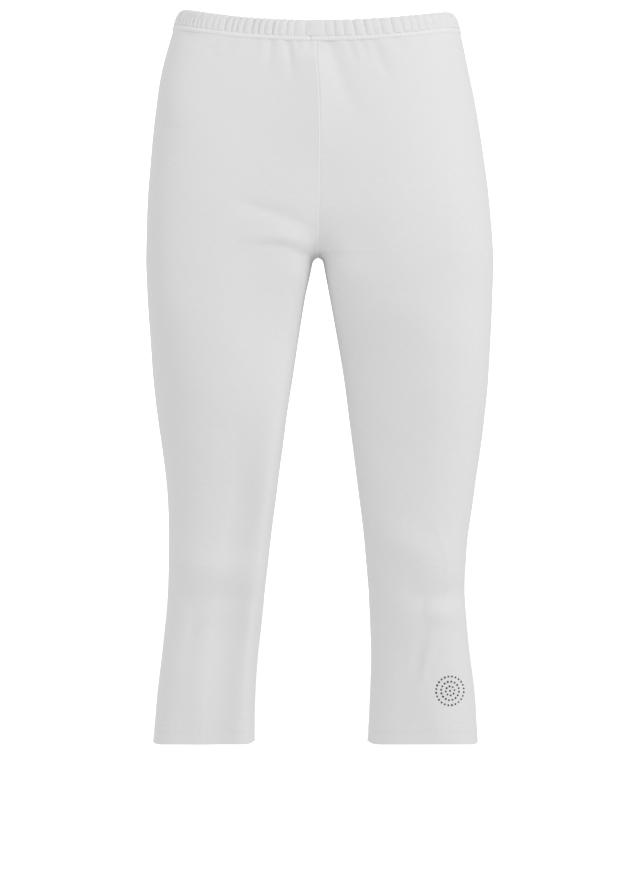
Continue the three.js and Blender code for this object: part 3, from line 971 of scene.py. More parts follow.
@dataclass(frozen=True)
class FacetedStone(Finish):
    """Heat-set glass stones with a dark foil: blue-black, glossy and a little mirrored.

    Each stone has a random tone of its own, and noise over its surface lightens it in patches towards the
    pale colour: a painted glint of facets catching the light, which makes the group glint unevenly to the
    eye.
    """

    name: str = "foiled_glass_stone_dark"
    deep: str = "#14161c"
    # pale is partly a painted glint: the colour of facets catching the light
    pale: str = "#5a626e"
    spread_mm: float = 3.0
    roughness: float = 0.16

    def inputs(self, tree: bpy.types.NodeTree) -> dict[str, Any]:
        """Give each stone a random tone between the two colours, with a painted glint from noise over its
        facets.
        """
        place = add_node(tree, "ShaderNodeTexCoord")
        uv = add_node(tree, "ShaderNodeUVMap", {"uv_map": "cloth"})
        shade = add_node(
            tree, "ShaderNodeTexWhiteNoise", {"noise_dimensions": "2D"},
            {"Vector": uv.outputs["UV"]},
        )
        # painted glint: noise over each stone lifts its colour towards pale where facets would catch the
        # light
        facet_glint = add_node(
            tree, "ShaderNodeTexNoise",
            inputs={"Vector": place.outputs["Object"], "Scale": 1000 / self.spread_mm},
        )
        mixed = add_node(
            tree, "ShaderNodeMath", {"operation": "MULTIPLY"},
            {0: shade.outputs["Value"], 1: facet_glint.outputs["Fac"]},
        )
        colour = add_node(
            tree, "ShaderNodeMix", {"data_type": "RGBA"},
            {0: mixed.outputs[0], 6: linear(self.deep), 7: linear(self.pale)},
        )
        return {
            "Base Color": colour.outputs[2],
            "Roughness": self.roughness,
            "Metallic": 0.35,
            "IOR": 1.52,
        }


@dataclass(frozen=True)
class StudioPaper(Finish):
    """Seamless white paper, lit evenly enough to read as plain white."""

    colour: str = "#ffffff"
    glow: float = 0.5

    def inputs(self, tree: bpy.types.NodeTree) -> dict[str, Any]:
        """Give matt white an even glow of its own."""
        return {
            "Base Color": linear(self.colour),
            "Roughness": 1.0,
            "Specular IOR Level": 0.0,
            "Emission Color": linear(self.colour),
            "Emission Strength": self.glow,
        }


# ---------------------------------------------------------------------------
# Pieces
# ---------------------------------------------------------------------------


def dress(piece: bpy.types.Object, material: bpy.types.Material, slot: str, *nodes: str) -> None:
    """Give a piece its material, its body and the nodes that it stands for."""
    piece.data.materials.clear()
    piece.data.materials.append(material)
    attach(piece, "root")
    if nodes:
        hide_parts(*nodes)
    LOG.info("%s: %d faces", piece.name, len(piece.data.polygons))


@dataclass
class LegPanel:
    """One leg, a single panel of jersey from the centre front round to the centre back.

    Sizes are in millimetres. The turned-up hem is held by two rows of stitching, whose
    heights above the hem's edge are stitch_rows.
    """

    form: BodyForm
    side: Side
    creases: tuple[Crease, ...]
    wall: float = 1.2
    # Columns round the leg, closer together near its seam.
    columns: int = 190
    crowding: float = 3.0
    crowded_share: float = 0.015
    # Steps between rows: where the cloth is gathered, down to the fork, down the leg, and
    # over the hem. Extra rows lie close to the fork, where columns slide fast along it.
    top_z: float = -18.8
    gathered_to_z: float = -112.0
    fine_hem: float = 23.0
    top_step: float = 1.9
    seat_step: float = 2.9
    leg_step: float = 3.8
    hem_step: float = 0.95
    fork_rows: tuple[float, ...] = (2.2, 1.2, 0.55, 0.2)
    fork_gap: float = 3.4
    # The hem: heights of its stitching, the grooves under it, the welt between the rows,
    # the fold at the edge, and the distance round that the puckers are spread over.
    stitch_rows: tuple[float, float] = (12.9, 18.5)
    stitch_groove: float = 0.05
    stitch_groove_width: float = 0.85
    hem_welt: float = 0.22
    hem_welt_width: float = 1.9
    hem_fold: float = 0.25
    hem_fold_height: float = 7.0
    hem_round: float = 330.0
    # Share of the creases that the waist's seam holds flat, fading over a height.
    waist_hold: float = 0.5
    waist_hold_height: float = 9.0
    # At the rise: the valley along both faces, the crevice beside the front's rib, and the
    # crest that the gathered front raises, wider on the wearer's right.
    seam_valley: float = 0.35
    seam_valley_width: float = 2.0
    seam_evening: float = 11.0
    crevice: float = 0.8
    crevice_at: float = 0.7
    crevice_width: float = 0.75
    crest: float = 6.0
    crest_reach_left: float = 14.0
    crest_reach_right: float = 28.0
    # The front seam's drift from the centre plane, as (height, distance) pairs.
    seam_drift: tuple[tuple[float, float], ...] = (
        (-30.0, -2.2), (-57.0, -2.2), (-72.0, -0.9), (-92.0, 0.9), (-112.0, 1.3), (-132.0, 1.9),
        (-152.0, 1.6), (-182.0, 1.0), (-222.0, 0.2), (-240.0, 0.0),
    )
    drift_reach: float = 26.0
    outer: Array = field(init=False)
    normal: Array = field(init=False)
    levels: Array = field(init=False)
    push: Array = field(init=False)
    base: Array = field(init=False)

    def __post_init__(self) -> None:
        """Lay out the rows, and work out the smooth form and each point's push."""
        f = self.form

        def rows(first: float, last: float, step: float) -> Array:
            """Even levels from first to last, the last left out."""
            count = max(1, round((first - last) / step))
            return np.linspace(first, last, count + 1)[:-1]

        fine_top = f.hem_z + self.fine_hem
        near_fork = np.array(self.fork_rows)
        self.levels = np.concatenate([
            rows(self.top_z, self.gathered_to_z, self.top_step),
            rows(self.gathered_to_z, f.fork_z + self.fork_gap, self.seat_step),
            f.fork_z + near_fork,
            [f.fork_z],
            f.fork_z - near_fork[::-1],
            rows(f.fork_z - self.fork_gap, fine_top, self.leg_step),
            rows(fine_top, f.hem_z, self.hem_step),
            [f.hem_z],
        ])
        t = np.linspace(0.0, 1.0, self.columns + 1)
        near_seam = np.exp(-t / self.crowded_share) + np.exp((t - 1) / self.crowded_share)
        stride = 1.0 / (1.0 + self.crowding * near_seam)
        u = np.concatenate([[0.0], np.cumsum((stride[1:] + stride[:-1]) / 2)])
        level, u = np.meshgrid(self.levels, u / u[-1], indexing="ij")
        z = f.row_height(self.side, level, u)
        self.base = f.points(self.side, u, z)
        self.normal = f.normals(self.side, u, z)
        seam = self.levels > f.fork_z
        self.normal[seam, 0, 0] = 0.0
        self.normal[seam, -1, 0] = 0.0
        joined = unit(self.normal[~seam, 0] + self.normal[~seam, -1])
        self.normal[~seam, 0] = joined
        self.normal[~seam, -1] = joined
        self.normal = unit(self.normal)
        below_waist = (level - self.top_z) / self.waist_hold_height
        held = 1 - self.waist_hold * np.exp(-(below_waist**2))
        self.push = self.crease_push() * held + self.hem_push(level, u) + self.set_of_cloth()

    @property
    def welded(self) -> Array:
        """Rows that close on themselves: those at the fork and below."""
        return self.levels <= self.form.fork_z + 1e-6

    def crease_push(self) -> Array:
        """Sum of this side's creases over the whole panel."""
        flat = self.base.reshape(-1, 3)
        mine = [c for c in self.creases if c.side is self.side]
        return sum((c.push(flat) for c in mine), np.zeros(len(flat))).reshape(self.base.shape[:2])

    def set_of_cloth(self) -> Array:
        """Slight unevenness of worn jersey: three long crossed waves, each under 0.2 mm high."""
        x, y, z = (self.base[..., k] for k in range(3))
        return (
            0.18 * np.sin(z / 23.0 + x / 31.0 + self.side.value)
            + 0.14 * np.sin(z / 41.0 - y / 27.0)
            + 0.10 * np.sin(z / 11.0 + x / 17.0 - y / 13.0)
        ) * ease((-30.0 - z) / 30.0)

    def hem_push(self, level: Array, u: Array) -> Array:
        """Grooves under the hem's puckered stitching, a welt between them, and its fold."""
        above = level - self.form.hem_z
        run = u * self.hem_round
        pucker = 1.0 + 0.45 * np.sin(run / 1.7 + 2.0 * np.sin(run / 9.0))

        def bump(middle: float, width: float) -> Array:
            """Bell-shaped band round the hem at a height above its edge."""
            return np.exp(-(((above - middle) / width) ** 2))

        low, high = self.stitch_rows
        grooves = sum(bump(row, self.stitch_groove_width) for row in (low, high))
        welt = self.hem_welt * bump((low + high) / 2, self.hem_welt_width)
        fold = self.hem_fold * bump(0.0, self.hem_fold_height)
        return -self.stitch_groove * grooves * pucker + welt + fold

    def meet(self, other: "LegPanel") -> None:
        """Make both panels agree at the rise, and press their joined edges in a little."""
        seam = ~self.welded
        for column in (0, -1):
            mean = (self.push[seam, column] + other.push[seam, column]) / 2
            for panel in (self, other):
                away = np.abs(panel.base[seam][:, :, 0])
                same_face = np.sign(panel.base[seam][:, :, 1]) == (-1 if column == 0 else 1)
                share = np.exp(-((away / self.seam_evening) ** 2)) * same_face
                share[:, column] = 1.0
                panel.push[seam] += (mean - panel.push[seam, column])[:, None] * share
        for panel in (self, other):
            away = np.abs(panel.base[..., 0])
            front = panel.base[..., 1] < 0
            z = panel.base[..., 2]
            panel.push -= (
                self.seam_valley * np.exp(-((away / self.seam_valley_width) ** 2)) * seam[:, None]
            )
            if panel.side is Side.LEFT:
                upper = between(z, foot=-165.0, foot_fade=60.0, top=-44.0, top_fade=8.0) * front
                off = (away - self.crevice_at) / self.crevice_width
                panel.push -= self.crevice * np.exp(-(off**2)) * upper
            gathered = between(z, foot=-188.0, foot_fade=75.0, top=-44.0, top_fade=24.0) * front
            left = panel.side is Side.LEFT
            reach = self.crest_reach_left if left else self.crest_reach_right
            panel.push += self.crest * np.exp(-away / reach) * gathered

    def shape(self) -> None:
        """Move the smooth form out by the push, keeping the seam's edge on the centre plane."""
        self.outer = self.base + self.normal * self.push[..., None]
        seam = ~self.welded
        for column in (0, -1):
            self.outer[seam, column, 0] = 0.0
            self.outer[~seam, column] = (self.outer[~seam, 0] + self.outer[~seam, -1]) / 2
        self.keep_to_side(self.outer)

    def keep_to_side(self, points: Array) -> None:
        """Hold points on their side of the seam, and let the front seam drift a little."""
        across = self.side.value * points[..., 0]
        points[..., 0] = self.side.value * np.maximum(across, 0.0)
        heights, drifts = np.array(self.seam_drift).T
        drift = np.interp(-points[..., 2], -heights, drifts) * (points[..., 1] < 0)
        points[..., 0] += drift * np.exp(-((points[..., 0] / self.drift_reach) ** 2))

    def cloth_uv(self) -> Array:
        """Metres round the leg from the outer side, and metres of height."""
        run = arc_lengths(self.outer)
        run -= run[:, self.columns // 2][:, None]
        drop = np.broadcast_to(self.levels[:, None], run.shape)
        return np.stack([run, drop], axis=-1) * MM

    def build(self, material: bpy.types.Material) -> bpy.types.Object:
        """Make the panel's wall, inside face and rims included."""
        inner = self.outer - self.normal * self.wall
        open_rows = ~self.welded
        inner[open_rows, 0, 0] = self.outer[open_rows, 0, 0]
        inner[open_rows, -1, 0] = self.outer[open_rows, -1, 0]
        name = f"panel_{self.side.name.lower()}"
        shell = Shell(name, self.outer, inner, self.cloth_uv(), self.welded)
        piece = shell.build(mirrored=self.side is Side.RIGHT)
        dress(piece, material, "jersey", f"leg_{self.side.name.lower()}")
        return piece

    def row_line(self, above_hem: float) -> tuple[Array, Array]:
        """Closed line round the leg at a height above the hem's edge, with its normals."""
        last = len(self.levels) - 1
        numbers = np.arange(last, -1, -1)
        position = np.interp(self.form.hem_z + above_hem, self.levels[::-1], numbers)
        low = int(np.floor(position))
        high = min(low + 1, last)
        share = position - low
        line = self.outer[low] * (1 - share) + self.outer[high] * share
        return line, unit(self.normal[low] * (1 - share) + self.normal[high] * share)


@dataclass
class WaistRing:
    """Shared geometry of the rings at the waist, which run all round the body."""

    form: BodyForm

    def surface(self, turns: Array, drop: Array, out: Array) -> Array:
        """Points round the waist.

        Args:
            turns: 0 to 1 round the wearer's left from the front, 1 to 2 round the right.
            drop: distance below the top edge.
            out: distance outwards from the form.

        Returns:
            Points of the same shape as turns, with a last axis of three.
        """
        u = np.where(turns <= 1, turns, 2 - turns)
        parts = []
        for side in Side:
            z = self.form.waist_dip(side, u) - drop
            point = self.form.points(side, u, z) + self.form.normals(side, u, z) * out[..., None]
            parts.append(point)
        points = np.where((turns <= 1)[..., None], parts[0], parts[1])
        on_seam = (np.abs(turns) < 1e-9) | (np.abs(turns - 1) < 1e-9)
        points[..., 0] = np.where(on_seam, 0.0, points[..., 0])
        return points

    def even_turns(self, count: int, drop: float, out: float) -> tuple[Array, Array, float]:
        """Space columns evenly round the waist.

        Args:
            count: how many columns.
            drop: distance below the top edge at which they are even.
            out: distance outwards from the form.

        Returns:
            The columns' turns, their distances round from the centre front, and the whole
            distance round.
        """
        coarse = np.linspace(0.0, 2.0, 1200, endpoint=False)
        line = self.surface(coarse, np.full_like(coarse, drop), np.full_like(coarse, out))
        length = arc_lengths(np.concatenate([line, line[:1]]))
        run = np.linspace(0.0, length[-1], count, endpoint=False)
        return np.interp(run, length, np.append(coarse, 2.0)), run, float(length[-1])


@dataclass(frozen=True)
class Pleat:
    """The valley between two small pleats of the waist casing.

    across is its distance from the centre plane at mid-height, on the front, and lean how
    far its top bends towards the centre (to the wearer's right on the hidden back).
    """

    across: float
    depth: float
    lean: float


# Across, depth and lean of the front's pleats, from the centre seam out to each side.
RIGHT_PLEATS = tuple(Pleat(*row) for row in (
    (12.5, 1.3, 1.2), (23.7, 1.4, 1.8), (31.2, 1.5, 2.2), (39.3, 1.2, 2.6), (44.6, 1.8, 2.9),
    (52.7, 1.7, 3.2), (58.8, 1.8, 3.2), (65.0, 1.9, 3.4), (73.5, 1.8, 3.6), (80.0, 1.7, 3.8),
    (85.0, 1.6, 4.0), (91.7, 1.8, 4.2), (99.0, 1.1, 4.3), (104.5, 1.0, 4.4), (111.0, 1.1, 4.6),
    (115.8, 0.9, 4.6), (119.3, 1.0, 4.6), (123.6, 1.1, 4.6), (127.0, 1.0, 4.4),
    (130.3, 1.0, 4.2), (134.0, 0.9, 4.0), (138.5, 0.9, 3.6),
))
LEFT_PLEATS = tuple(Pleat(*row) for row in (
    (6.9, 0.9, 0.6), (16.3, 1.5, 1.4), (25.7, 1.4, 1.8), (36.2, 2.0, 2.6), (47.3, 1.5, 2.4),
    (55.0, 0.7, 2.2), (63.3, 1.5, 2.2), (74.3, 1.5, 1.8), (84.3, 1.3, 1.8), (92.6, 1.1, 1.6),
    (100.0, 0.9, 1.6), (107.6, 1.1, 1.4), (116.0, 0.9, 1.4), (124.0, 1.0, 1.4),
    (131.0, 0.9, 1.2), (137.0, 1.0, 1.0),
))


@dataclass
class WaistCasing(WaistRing):
    """The elastic casing: jersey folded over elastic, drawn up into small uneven pleats."""

    height: float = 17.7
    proud: float = 0.9
    thickness: float = 3.0
    corner_power: float = 0.34
    top_roll: float = 3.4
    top_roll_depth: float = 7.5
    arch_power: float = 2.4
    arch_root: float = 0.62
    draw_up: float = 1.35
    swell: float = 0.25
    ease_out: float = 0.35
    columns: int = 2400
    # Pleats past those of the tables: ranges of their depth and spacing, and their lean.
    hidden_depth: tuple[float, float] = (1.0, 2.0)
    hidden_spacing: tuple[float, float] = (4.5, 9.5)
    hidden_lean: float = 2.0
    seed: int = 11

    def valleys(self, line: Array, run: Array, total: float) -> list[tuple[float, float, float]]:
        """List every valley round the waist as (place, depth, lean).

        Args:
            line: points round the casing at mid-height.
            run: their distances round it from the centre front.
            total: the whole distance round.

        Returns:
            Places from the centre front, positive to the wearer's left, within half of
            the total either way. The front's come from the tables, the rest from a seeded
            spread.
        """
        found = []
        quarter = len(line) // 4
        for side, pleats in ((Side.LEFT, LEFT_PLEATS), (Side.RIGHT, RIGHT_PLEATS)):
            rows = np.arange(quarter) if side is Side.LEFT else -np.arange(quarter)
            reach = np.maximum.accumulate(np.abs(line[rows, 0]))
            distance = np.abs(np.where(run[rows] > total / 2, run[rows] - total, run[rows]))
            for pleat in pleats:
                place = float(np.interp(pleat.across, reach, distance)) * side.value
                found.append((place, pleat.depth, -side.value * pleat.lean))
        spread = np.random.default_rng(self.seed)
        for sign in (-1, 1):
            place = max(sign * p for p, _, _ in found) + 5.0
            while place < total / 2 - 3:
                depth = float(spread.uniform(*self.hidden_depth))
                lean = float(spread.normal(0.0, self.hidden_lean))
                found.append((sign * place, depth, lean))
                place += float(spread.uniform(*self.hidden_spacing))
        return found

    def build(self, material: bpy.types.Material) -> bpy.types.Object:
        """Make the ring: a rounded band carried round the waist, arched between valleys.

        The band's section is a rectangle with its corners rounded, rolled inwards at the
        top by the square of the distance above the roll's foot. Between two valleys the
        cloth bows out in an arch, the root of 1 less the distance from its crown to a
        power, and meets its neighbours in a cusp.
        """
        half = self.height / 2
        steps = np.linspace(0.0, 2 * np.pi, 24, endpoint=False)
        out_share = np.sign(np.sin(steps)) * np.abs(np.sin(steps)) ** self.corner_power
        drop_share = -np.sign(np.cos(steps)) * np.abs(np.cos(steps)) ** self.corner_power
        turns, run, total = self.even_turns(self.columns, half, self.proud)
        line = self.surface(turns, np.full_like(turns, half), np.full_like(turns, self.proud))
        signed = np.where(run > total / 2, run - total, run)

        turn_grid, out_grid = np.meshgrid(turns, out_share, indexing="ij")
        drop = half + half * np.broadcast_to(drop_share, turn_grid.shape)
        roll = self.top_roll * np.maximum(0.0, 1 - drop / self.top_roll_depth) ** 2
        out = self.proud - self.thickness / 2 + out_grid * self.thickness / 2 - roll
        place, depth, lean = np.array(sorted(self.valleys(line, run, total))).T
        place = np.concatenate([place[-1:] - total, place, place[:1] + total])
        depth, lean = (np.concatenate([v[-1:], v, v[:1]]) for v in (depth, lean))
        depth = depth * self.draw_up
        press = np.zeros_like(out)
        for k, share in enumerate(drop_share):
            rise = 0.5 - share / 2
            foot = place + lean * (rise**2 - 0.25)
            after = np.clip(np.searchsorted(foot, signed), 1, len(foot) - 1)
            across = (signed - foot[after - 1]) / (foot[after] - foot[after - 1])
            crown = np.abs(2 * np.clip(across, 0.0, 1.0) - 1)
            arch = (1 - crown**self.arch_power) ** self.arch_root
            press[:, k] = (depth[after - 1] * (1 - across) + depth[after] * across) * (1 - arch)
        swell = self.swell * np.sin(signed / 11.0 + np.sin(signed / 37.0))[:, None]
        toward_out = 0.3 + 0.7 * (out_grid + 1) / 2
        rings = self.surface(turn_grid, drop, out + (self.ease_out - press + swell) * toward_out)
        rings[..., 2] -= 0.3 * press * (drop < 3.0)

        around = np.linspace(0.0, 2 * (self.height + self.thickness), len(steps) + 1)
        piece = tube("waist_casing", rings, grid_uv(run, around), closed_on_itself=True)
        dress(piece, material, "casing", "waistband_casing")
        return piece


@dataclass
class WaistSeam(WaistRing):
    """The rolled overlocked seam under the casing, ribbed by its upright threads."""

    top: float = 17.1
    height: float = 5.4
    thickness: float = 4.0
    proud: float = 1.25
    thread_pitch: float = 2.9
    thread_relief: float = 0.34
    columns_a_thread: int = 8
    # Where the seam's two ends meet, left of the centre front: a notch, then plain cloth.
    join_across: float = -8.0
    join_width: float = 1.3
    join_depth: float = 1.3
    plain_from: float = -6.5
    plain_to: float = 2.0

    def build(self, material: bpy.types.Material) -> bpy.types.Object:
        """Make the ring: an oval section carried round, swollen by each upright thread."""
        middle = self.top + self.height / 2
        threads = round(self.even_turns(1, middle, self.proud)[2] / self.thread_pitch)
        turns, even, total = self.even_turns(threads * self.columns_a_thread, middle, self.proud)
        steps = np.linspace(0.0, 2 * np.pi, 12, endpoint=False)
        turn_grid, angle = np.meshgrid(turns, steps, indexing="ij")
        place = np.broadcast_to(even[:, None], turn_grid.shape)
        phase = place / total * threads * 2 * np.pi
        swell = self.thread_relief * (0.5 + 0.5 * np.cos(phase + 0.5 * np.cos(angle)))
        waver = 0.18 * np.sin(turn_grid * np.pi * 23) + 0.12 * np.sin(turn_grid * np.pi * 61)
        distance = np.where(place > total / 2, place - total, place)
        plain = (distance > self.plain_from) & (distance < self.plain_to)
        off_join = (distance - self.join_across) / self.join_width
        notch = self.join_depth * np.exp(-(off_join**2))
        swell = np.where(plain, 0.5 * self.thread_relief, swell) - notch
        out = self.proud - self.thickness / 2 + (self.thickness / 2) * np.sin(angle) + swell - 0.2
        drop = middle - (self.height / 2 - 0.1) * np.cos(angle) + waver * 0.4
        rings = self.surface(turn_grid, drop, out)
        around = np.linspace(0.0, 11.0, len(steps) + 1)
        piece = tube("waist_overlock", rings, grid_uv(even, around), closed_on_itself=True)
        dress(piece, material, "thread", "waistband_seam")
        return piece


@dataclass
class SeamRidge:
    """The narrow ridge that the allowances of a seam raise in the cloth along its line."""

    width: float = 1.7
    height: float = 0.55
    sunk: float = 0.4
    step: float = 1.6

    def build(
        self, name: str, line: Array, outward: Array, material: bpy.types.Material, node: str
    ) -> bpy.types.Object:
        """Carry a low rounded section along a line on the cloth.

        Args:
            name: the piece's name.
            line: points of the seam's line.
            outward: the cloth's normal at each of them.
            material: the ridge's finish.
            node: the solid that it stands for.

        Returns:
            The finished object.
        """
        run = arc_lengths(line)
        at = np.linspace(0.0, run[-1], int(run[-1] / self.step) + 1)
        points = along(line, at)
        normals = unit(along(line, at, outward))
        across = unit(np.cross(unit(np.gradient(points, axis=0)), normals))
        steps = np.linspace(0.0, 2 * np.pi, 10, endpoint=False)
        sideways = np.cos(steps) * self.width / 2
        up = np.where(np.sin(steps) > 0, np.sin(steps) * self.height, np.sin(steps) * self.sunk)
        rings = set_out(points, (across, normals), (sideways, up))
        around = np.linspace(0.0, 6.0, len(steps) + 1)
        piece = tube(name, rings, grid_uv(at, around), closed_on_itself=False)
        dress(piece, material, "thread", node)
        return piece


@dataclass
class HemTurnup:
    """The cloth turned up inside the end of a leg."""

    panel: LegPanel
    depth: float = 19.4
    clear: float = 0.15
    wall: float = 1.0
    rows: int = 9

    def build(self, material: bpy.types.Material) -> bpy.types.Object:
        """Make the ring from the panel's own points, moved in."""
        heights = np.linspace(self.depth, 0.35, self.rows)
        lines = [self.panel.row_line(float(h)) for h in heights]
        points = np.stack([line for line, _ in lines])
        normals = np.stack([normal for _, normal in lines])
        outside = points - normals * (self.panel.wall + self.clear)
        inside = outside - normals * self.wall
        inside[-1] += (outside[-1] - inside[-1]) * 0.35
        run = arc_lengths(points)
        uv = np.stack([run, np.broadcast_to(heights[:, None], run.shape)], axis=-1) * MM
        side = self.panel.side
        welded = np.ones(self.rows, dtype=bool)
        shell = Shell(f"turnup_{side.name.lower()}", outside, inside, uv, welded)
        piece = shell.build(mirrored=side is Side.RIGHT)
        dress(piece, material, "jersey", f"hem_{side.name.lower()}")
        return piece


@dataclass
class HemStitching:
    """Two rows of twin-needle stitches round a hem, each stitch a short rounded float."""

    panel: LegPanel
    pitch: float = 2.9
    length: float = 2.6
    radius: float = 0.34
    lift: float = 0.06

    def build(self, material: bpy.types.Material) -> bpy.types.Object:
        """Make one joined mesh of all the stitches of both rows."""
        ring = np.linspace(0.0, 2 * np.pi, 6, endpoint=False)
        stations = np.array([-1.0, -0.8, 0.0, 0.8, 1.0])
        thickness = np.array([0.35, 0.85, 1.0, 0.85, 0.35]) * self.radius
        places, points, normals, tangents = [], [], [], []
        for above in self.panel.stitch_rows:
            line, normal = self.panel.row_line(above)
            round_leg = arc_lengths(line)[-1]
            count = int(round_leg / self.pitch)
            at = (np.arange(count) + 0.5) * round_leg / count
            places.append(at * MM)
            points.append(along(line, at))
            tangents.append(unit(along(line, at + 0.6) - along(line, at - 0.6)))
            normals.append(unit(along(line, at, normal)))
        centre, normal, tangent = (np.concatenate(v) for v in (points, normals, tangents))
        lengthways = np.repeat(stations * self.length / 2, len(ring))
        across, up = (np.outer(thickness, wave(ring)).ravel() for wave in (np.cos, np.sin))
        axes = (tangent, unit(np.cross(normal, tangent)), normal)
        bodies = set_out(centre, axes, (lengthways, across, self.lift + up))
        number = ring_numbers(len(stations), len(ring))
        cap = np.array([[0, 1, 2, 3], [0, 3, 4, 5]])
        faces = np.concatenate(
            [number[cells(*number.shape)], cap, cap[:, ::-1] + (len(stations) - 1) * len(ring)]
        )
        name = f"hem_stitches_{self.panel.side.name.lower()}"
        piece = scatter(name, bodies, faces, np.concatenate(places))
        dress(piece, material, "thread")
        return piece


@dataclass
class StoneRosette:
    """A plain rosette of round stones on the outer front of the wearer's left calf.

    rings holds each ring's radius and number of stones; a single stone is its middle.
    """

    panel: LegPanel
    across: float = 134.0
    height: float = -697.0
    rings: tuple[tuple[float, int], ...] = ((0.0, 1), (4.6, 8), (9.4, 16), (14.6, 24))
    stone_radius: float = 1.05
    stone_height: float = 0.85
    # Radius and height of a stone's foot, girdle and table, as shares of its own.
    profile: tuple[tuple[float, float], ...] = ((0.92, -0.15), (1.0, 0.12), (0.62, 0.8))
    sides: int = 8
    seed: int = 5

    def build(self, material: bpy.types.Material) -> bpy.types.Object:
        """Set one faceted stone at each place, upright on the cloth below it."""
        cloth = self.panel.outer.reshape(-1, 3)
        normals = self.panel.normal.reshape(-1, 3)
        front = cloth[:, 1] < 0
        cloth, normals = cloth[front], normals[front]

        def on_cloth(x: Array, z: Array) -> tuple[Array, Array]:
            """Lay (x, z) points on the cloth, by the mean of its nearest points."""
            gap = (cloth[None, :, 0] - x[:, None]) ** 2 + (cloth[None, :, 2] - z[:, None]) ** 2
            nearest = np.argsort(gap, axis=1)[:, :4]
            weight = 1.0 / (np.take_along_axis(gap, nearest, axis=1) + 0.05)
            weight /= weight.sum(1, keepdims=True)
            y = (cloth[nearest, 1] * weight).sum(1)
            return np.column_stack([x, y, z]), unit((normals[nearest] * weight[..., None]).sum(1))

        middle, facing = on_cloth(np.array([self.across]), np.array([self.height]))
        right = unit(np.cross(facing[0], np.array([0.0, 0.0, 1.0])) * -1)
        places = []
        for ring, (radius, count) in enumerate(self.rings):
            turn = np.linspace(0.0, 2 * np.pi, count, endpoint=False) + 0.5 * np.pi + 0.13 * ring
            flat = np.cos(turn)[:, None] * right * radius
            flat[:, 2] += np.sin(turn) * radius
            places.append(middle[0] + flat)
        spots = np.concatenate(places)
        centre, normal = on_cloth(spots[:, 0], spots[:, 2])
        side = unit(np.cross(normal, np.array([0.0, 0.0, 1.0])))
        up = np.cross(side, normal)
        spread = np.random.default_rng(self.seed)
        scale = spread.uniform(0.9, 1.08, len(centre))
        spin = spread.uniform(0.0, np.pi, len(centre))
        turn = np.linspace(0.0, 2 * np.pi, self.sides, endpoint=False)
        angle = turn[None, :] + spin[:, None]
        layers = []
        for share, lift in self.profile:
            reach = share * self.stone_radius * scale[:, None]
            offsets = (np.cos(angle) * reach, np.sin(angle) * reach, lift * self.stone_height)
            layers.append(set_out(centre, (side, up, normal), offsets))
        number = ring_numbers(len(self.profile), self.sides)
        lid = np.array([[0, 1, 2, 3], [0, 3, 4, 7], [7, 4, 5, 6]])
        table = lid + (len(self.profile) - 1) * self.sides
        faces = np.concatenate([number[cells(*number.shape)], lid[:, ::-1], table])
        marks = np.arange(len(centre)) * 0.37
        piece = scatter("stone_rosette", np.concatenate(layers, axis=1), faces, marks)
        piece.data.polygons.foreach_set("use_smooth", np.zeros(len(piece.data.polygons), bool))
        dress(piece, material, "stones")
        return piece


@dataclass(frozen=True)
class Lamp:
    """A round soft lamp: where it stands and its width, in metres, and its power."""

    name: str
    place: tuple[float, float, float]
    width: float
    power: float

    def build(self, aim: tuple[float, float, float]) -> None:
        """Hang the lamp and turn it to face a point."""
        data = bpy.data.lights.new(self.name, "AREA")
        data.shape = "DISK"
        data.size = self.width
        data.energy = self.power
        lamp = show(self.name, data)
        lamp.location = self.place
        lamp.visible_camera = False
        x, y, z = np.array(aim) - np.array(self.place)
        yaw = math.atan2(y, x) - math.pi / 2
        pitch = math.atan2(z, math.hypot(x, y)) + math.pi / 2
        lamp.rotation_euler = (pitch, 0.0, yaw)


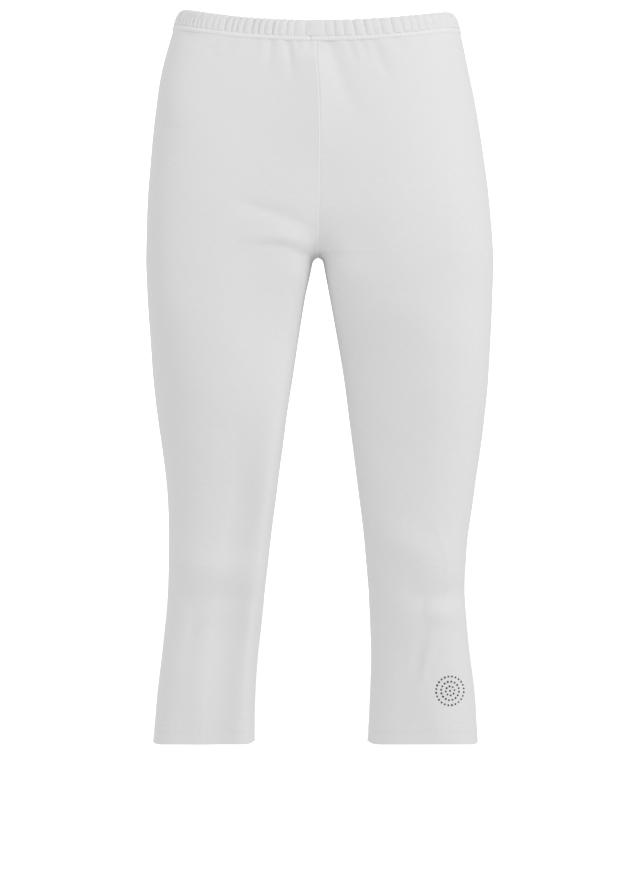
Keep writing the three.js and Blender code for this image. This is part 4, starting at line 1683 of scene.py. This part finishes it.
@dataclass
class Studio:
    """A plain white studio, in metres: pale floor, white surround, two lamps and camera."""

    floor_z: float = -1.06
    radius: float = 9.0
    distance: float = 3.2
    eye: tuple[float, float] = (0.002, -0.441)
    lens: float = 127.5
    ambient: float = 0.70
    lamps: tuple[Lamp, ...] = (
        Lamp("key", (1.54, -1.71, 1.0), 1.4, 13.8),
        Lamp("rim", (-1.99, 1.15, 1.3), 1.0, 3.5),
    )

    def build(self) -> None:
        """Make the surround, the lights and the camera."""
        self.surround()
        self.lights()
        self.camera()

    def surround(self) -> None:
        """Make the floor disc and the dome, both left out of the object."""
        turn = np.linspace(0.0, 2 * np.pi, 96, endpoint=False)
        tilt = np.linspace(-0.5 * np.pi, 0.5 * np.pi, 49)
        ring = np.stack([np.cos(turn), np.sin(turn)], axis=1)
        dome = np.stack(
            [np.column_stack([ring * math.cos(t), np.full(len(turn), math.sin(t))]) for t in tilt]
        )
        number = ring_numbers(*dome.shape[:2])
        faces = number[cells(*number.shape)]
        shell = new_object("white_surround", dome.reshape(-1, 3) * self.radius / MM, faces)
        shell.data.materials.append(StudioPaper("surround_paper_white", glow=1.0).build())
        for ray in ("diffuse", "glossy", "transmission", "shadow", "volume_scatter"):
            setattr(shell, f"visible_{ray}", False)
        disc = np.column_stack([ring * self.radius, np.full(len(turn), self.floor_z)])
        floor = new_object("floor", disc / MM, np.arange(len(turn))[None])
        floor.data.materials.append(StudioPaper("floor_paper_pale", glow=0.5).build())
        floor.visible_diffuse = False

    def lights(self) -> None:
        """Set an even white light all round, and the lamps.

        The key is a broad soft lamp in front, on the wearer's left, and the rim a weaker
        one behind, on the right, that lifts that edge and shapes the back.
        """
        scene = bpy.context.scene
        scene.world = bpy.data.worlds.new("studio")
        scene.world.use_nodes = True
        tree = scene.world.node_tree
        tree.nodes.clear()
        sky = add_node(
            tree, "ShaderNodeBackground",
            inputs={"Color": linear("#ffffff"), "Strength": self.ambient},
        )
        add_node(tree, "ShaderNodeOutputWorld", inputs={"Surface": sky.outputs[0]})
        for lamp in self.lamps:
            lamp.build(aim=(0.0, 0.0, self.eye[1]))
        scene.view_settings.view_transform = "Standard"
        scene.view_settings.look = "None"

    def camera(self) -> None:
        """Place the camera straight in front, level with the middle of the leggings."""
        data = bpy.data.cameras.new("camera")
        data.lens = self.lens
        data.sensor_width = 36.0
        camera = show("camera", data)
        camera.location = (self.eye[0], -self.distance, self.eye[1])
        camera.rotation_euler = (math.pi / 2, 0.0, 0.0)
        bpy.context.scene.camera = camera


@dataclass
class Leggings:
    """The whole garment, built panel by panel."""

    form: BodyForm = field(default_factory=BodyForm)
    rib_aside: float = 0.7  # how far the rise's rib lies to the wearer's right in front

    def build(self) -> None:
        jersey = JerseyKnit().build()
        thread = SewingThread().build()
        stones = FacetedStone().build()
        creases = WAIST_CREASES + LEG_CREASES + BACK_CREASES
        left, right = (LegPanel(self.form, side, creases) for side in (Side.LEFT, Side.RIGHT))
        left.meet(right)
        casing = WaistCasing(self.form).build(jersey)
        waist_seam = WaistSeam(self.form).build(thread)
        for panel in (left, right):
            panel.shape()
            cloth = panel.build(jersey)
            sewn_on = [self.inseam(panel, thread), HemStitching(panel).build(thread)]
            if panel is left:
                sewn_on += [self.rise(left, thread), StoneRosette(left).build(stones)]
            turnup = HemTurnup(panel).build(jersey)

    def rise(self, panel: LegPanel, material: bpy.types.Material) -> bpy.types.Object:
        """Run a ridge down the centre front, under the body and up the centre back."""
        seam = ~panel.welded
        last = int(seam.sum())
        front = panel.outer[: last + 1, 0]
        back = panel.outer[:last, -1][::-1]
        line = np.concatenate([front, back])
        line[:, 0] -= self.rib_aside * (line[:, 1] < 0)
        tangent = unit(np.gradient(line, axis=0))
        outward = np.column_stack([np.zeros(len(line)), tangent[:, 2], -tangent[:, 1]])
        return SeamRidge().build("rise_ridge", line, outward, material, "rise_seam")

    def inseam(self, panel: LegPanel, material: bpy.types.Material) -> bpy.types.Object:
        """Run a ridge down the inner side of a leg from the fork to the hem."""
        rows = np.flatnonzero(panel.welded)[2:]
        line, outward = panel.outer[rows, 0], panel.normal[rows, 0]
        name = panel.side.name.lower()
        return SeamRidge(width=2.0, height=0.6).build(
            f"inseam_ridge_{name}", line, outward, material, f"inseam_{name}"
        )


def main() -> None:
    """Build the leggings and the studio."""
    logging.basicConfig(level=logging.INFO, format="%(name)s %(message)s")
    Leggings().build()
    Studio().build()


if __name__ == "__main__":
    main()
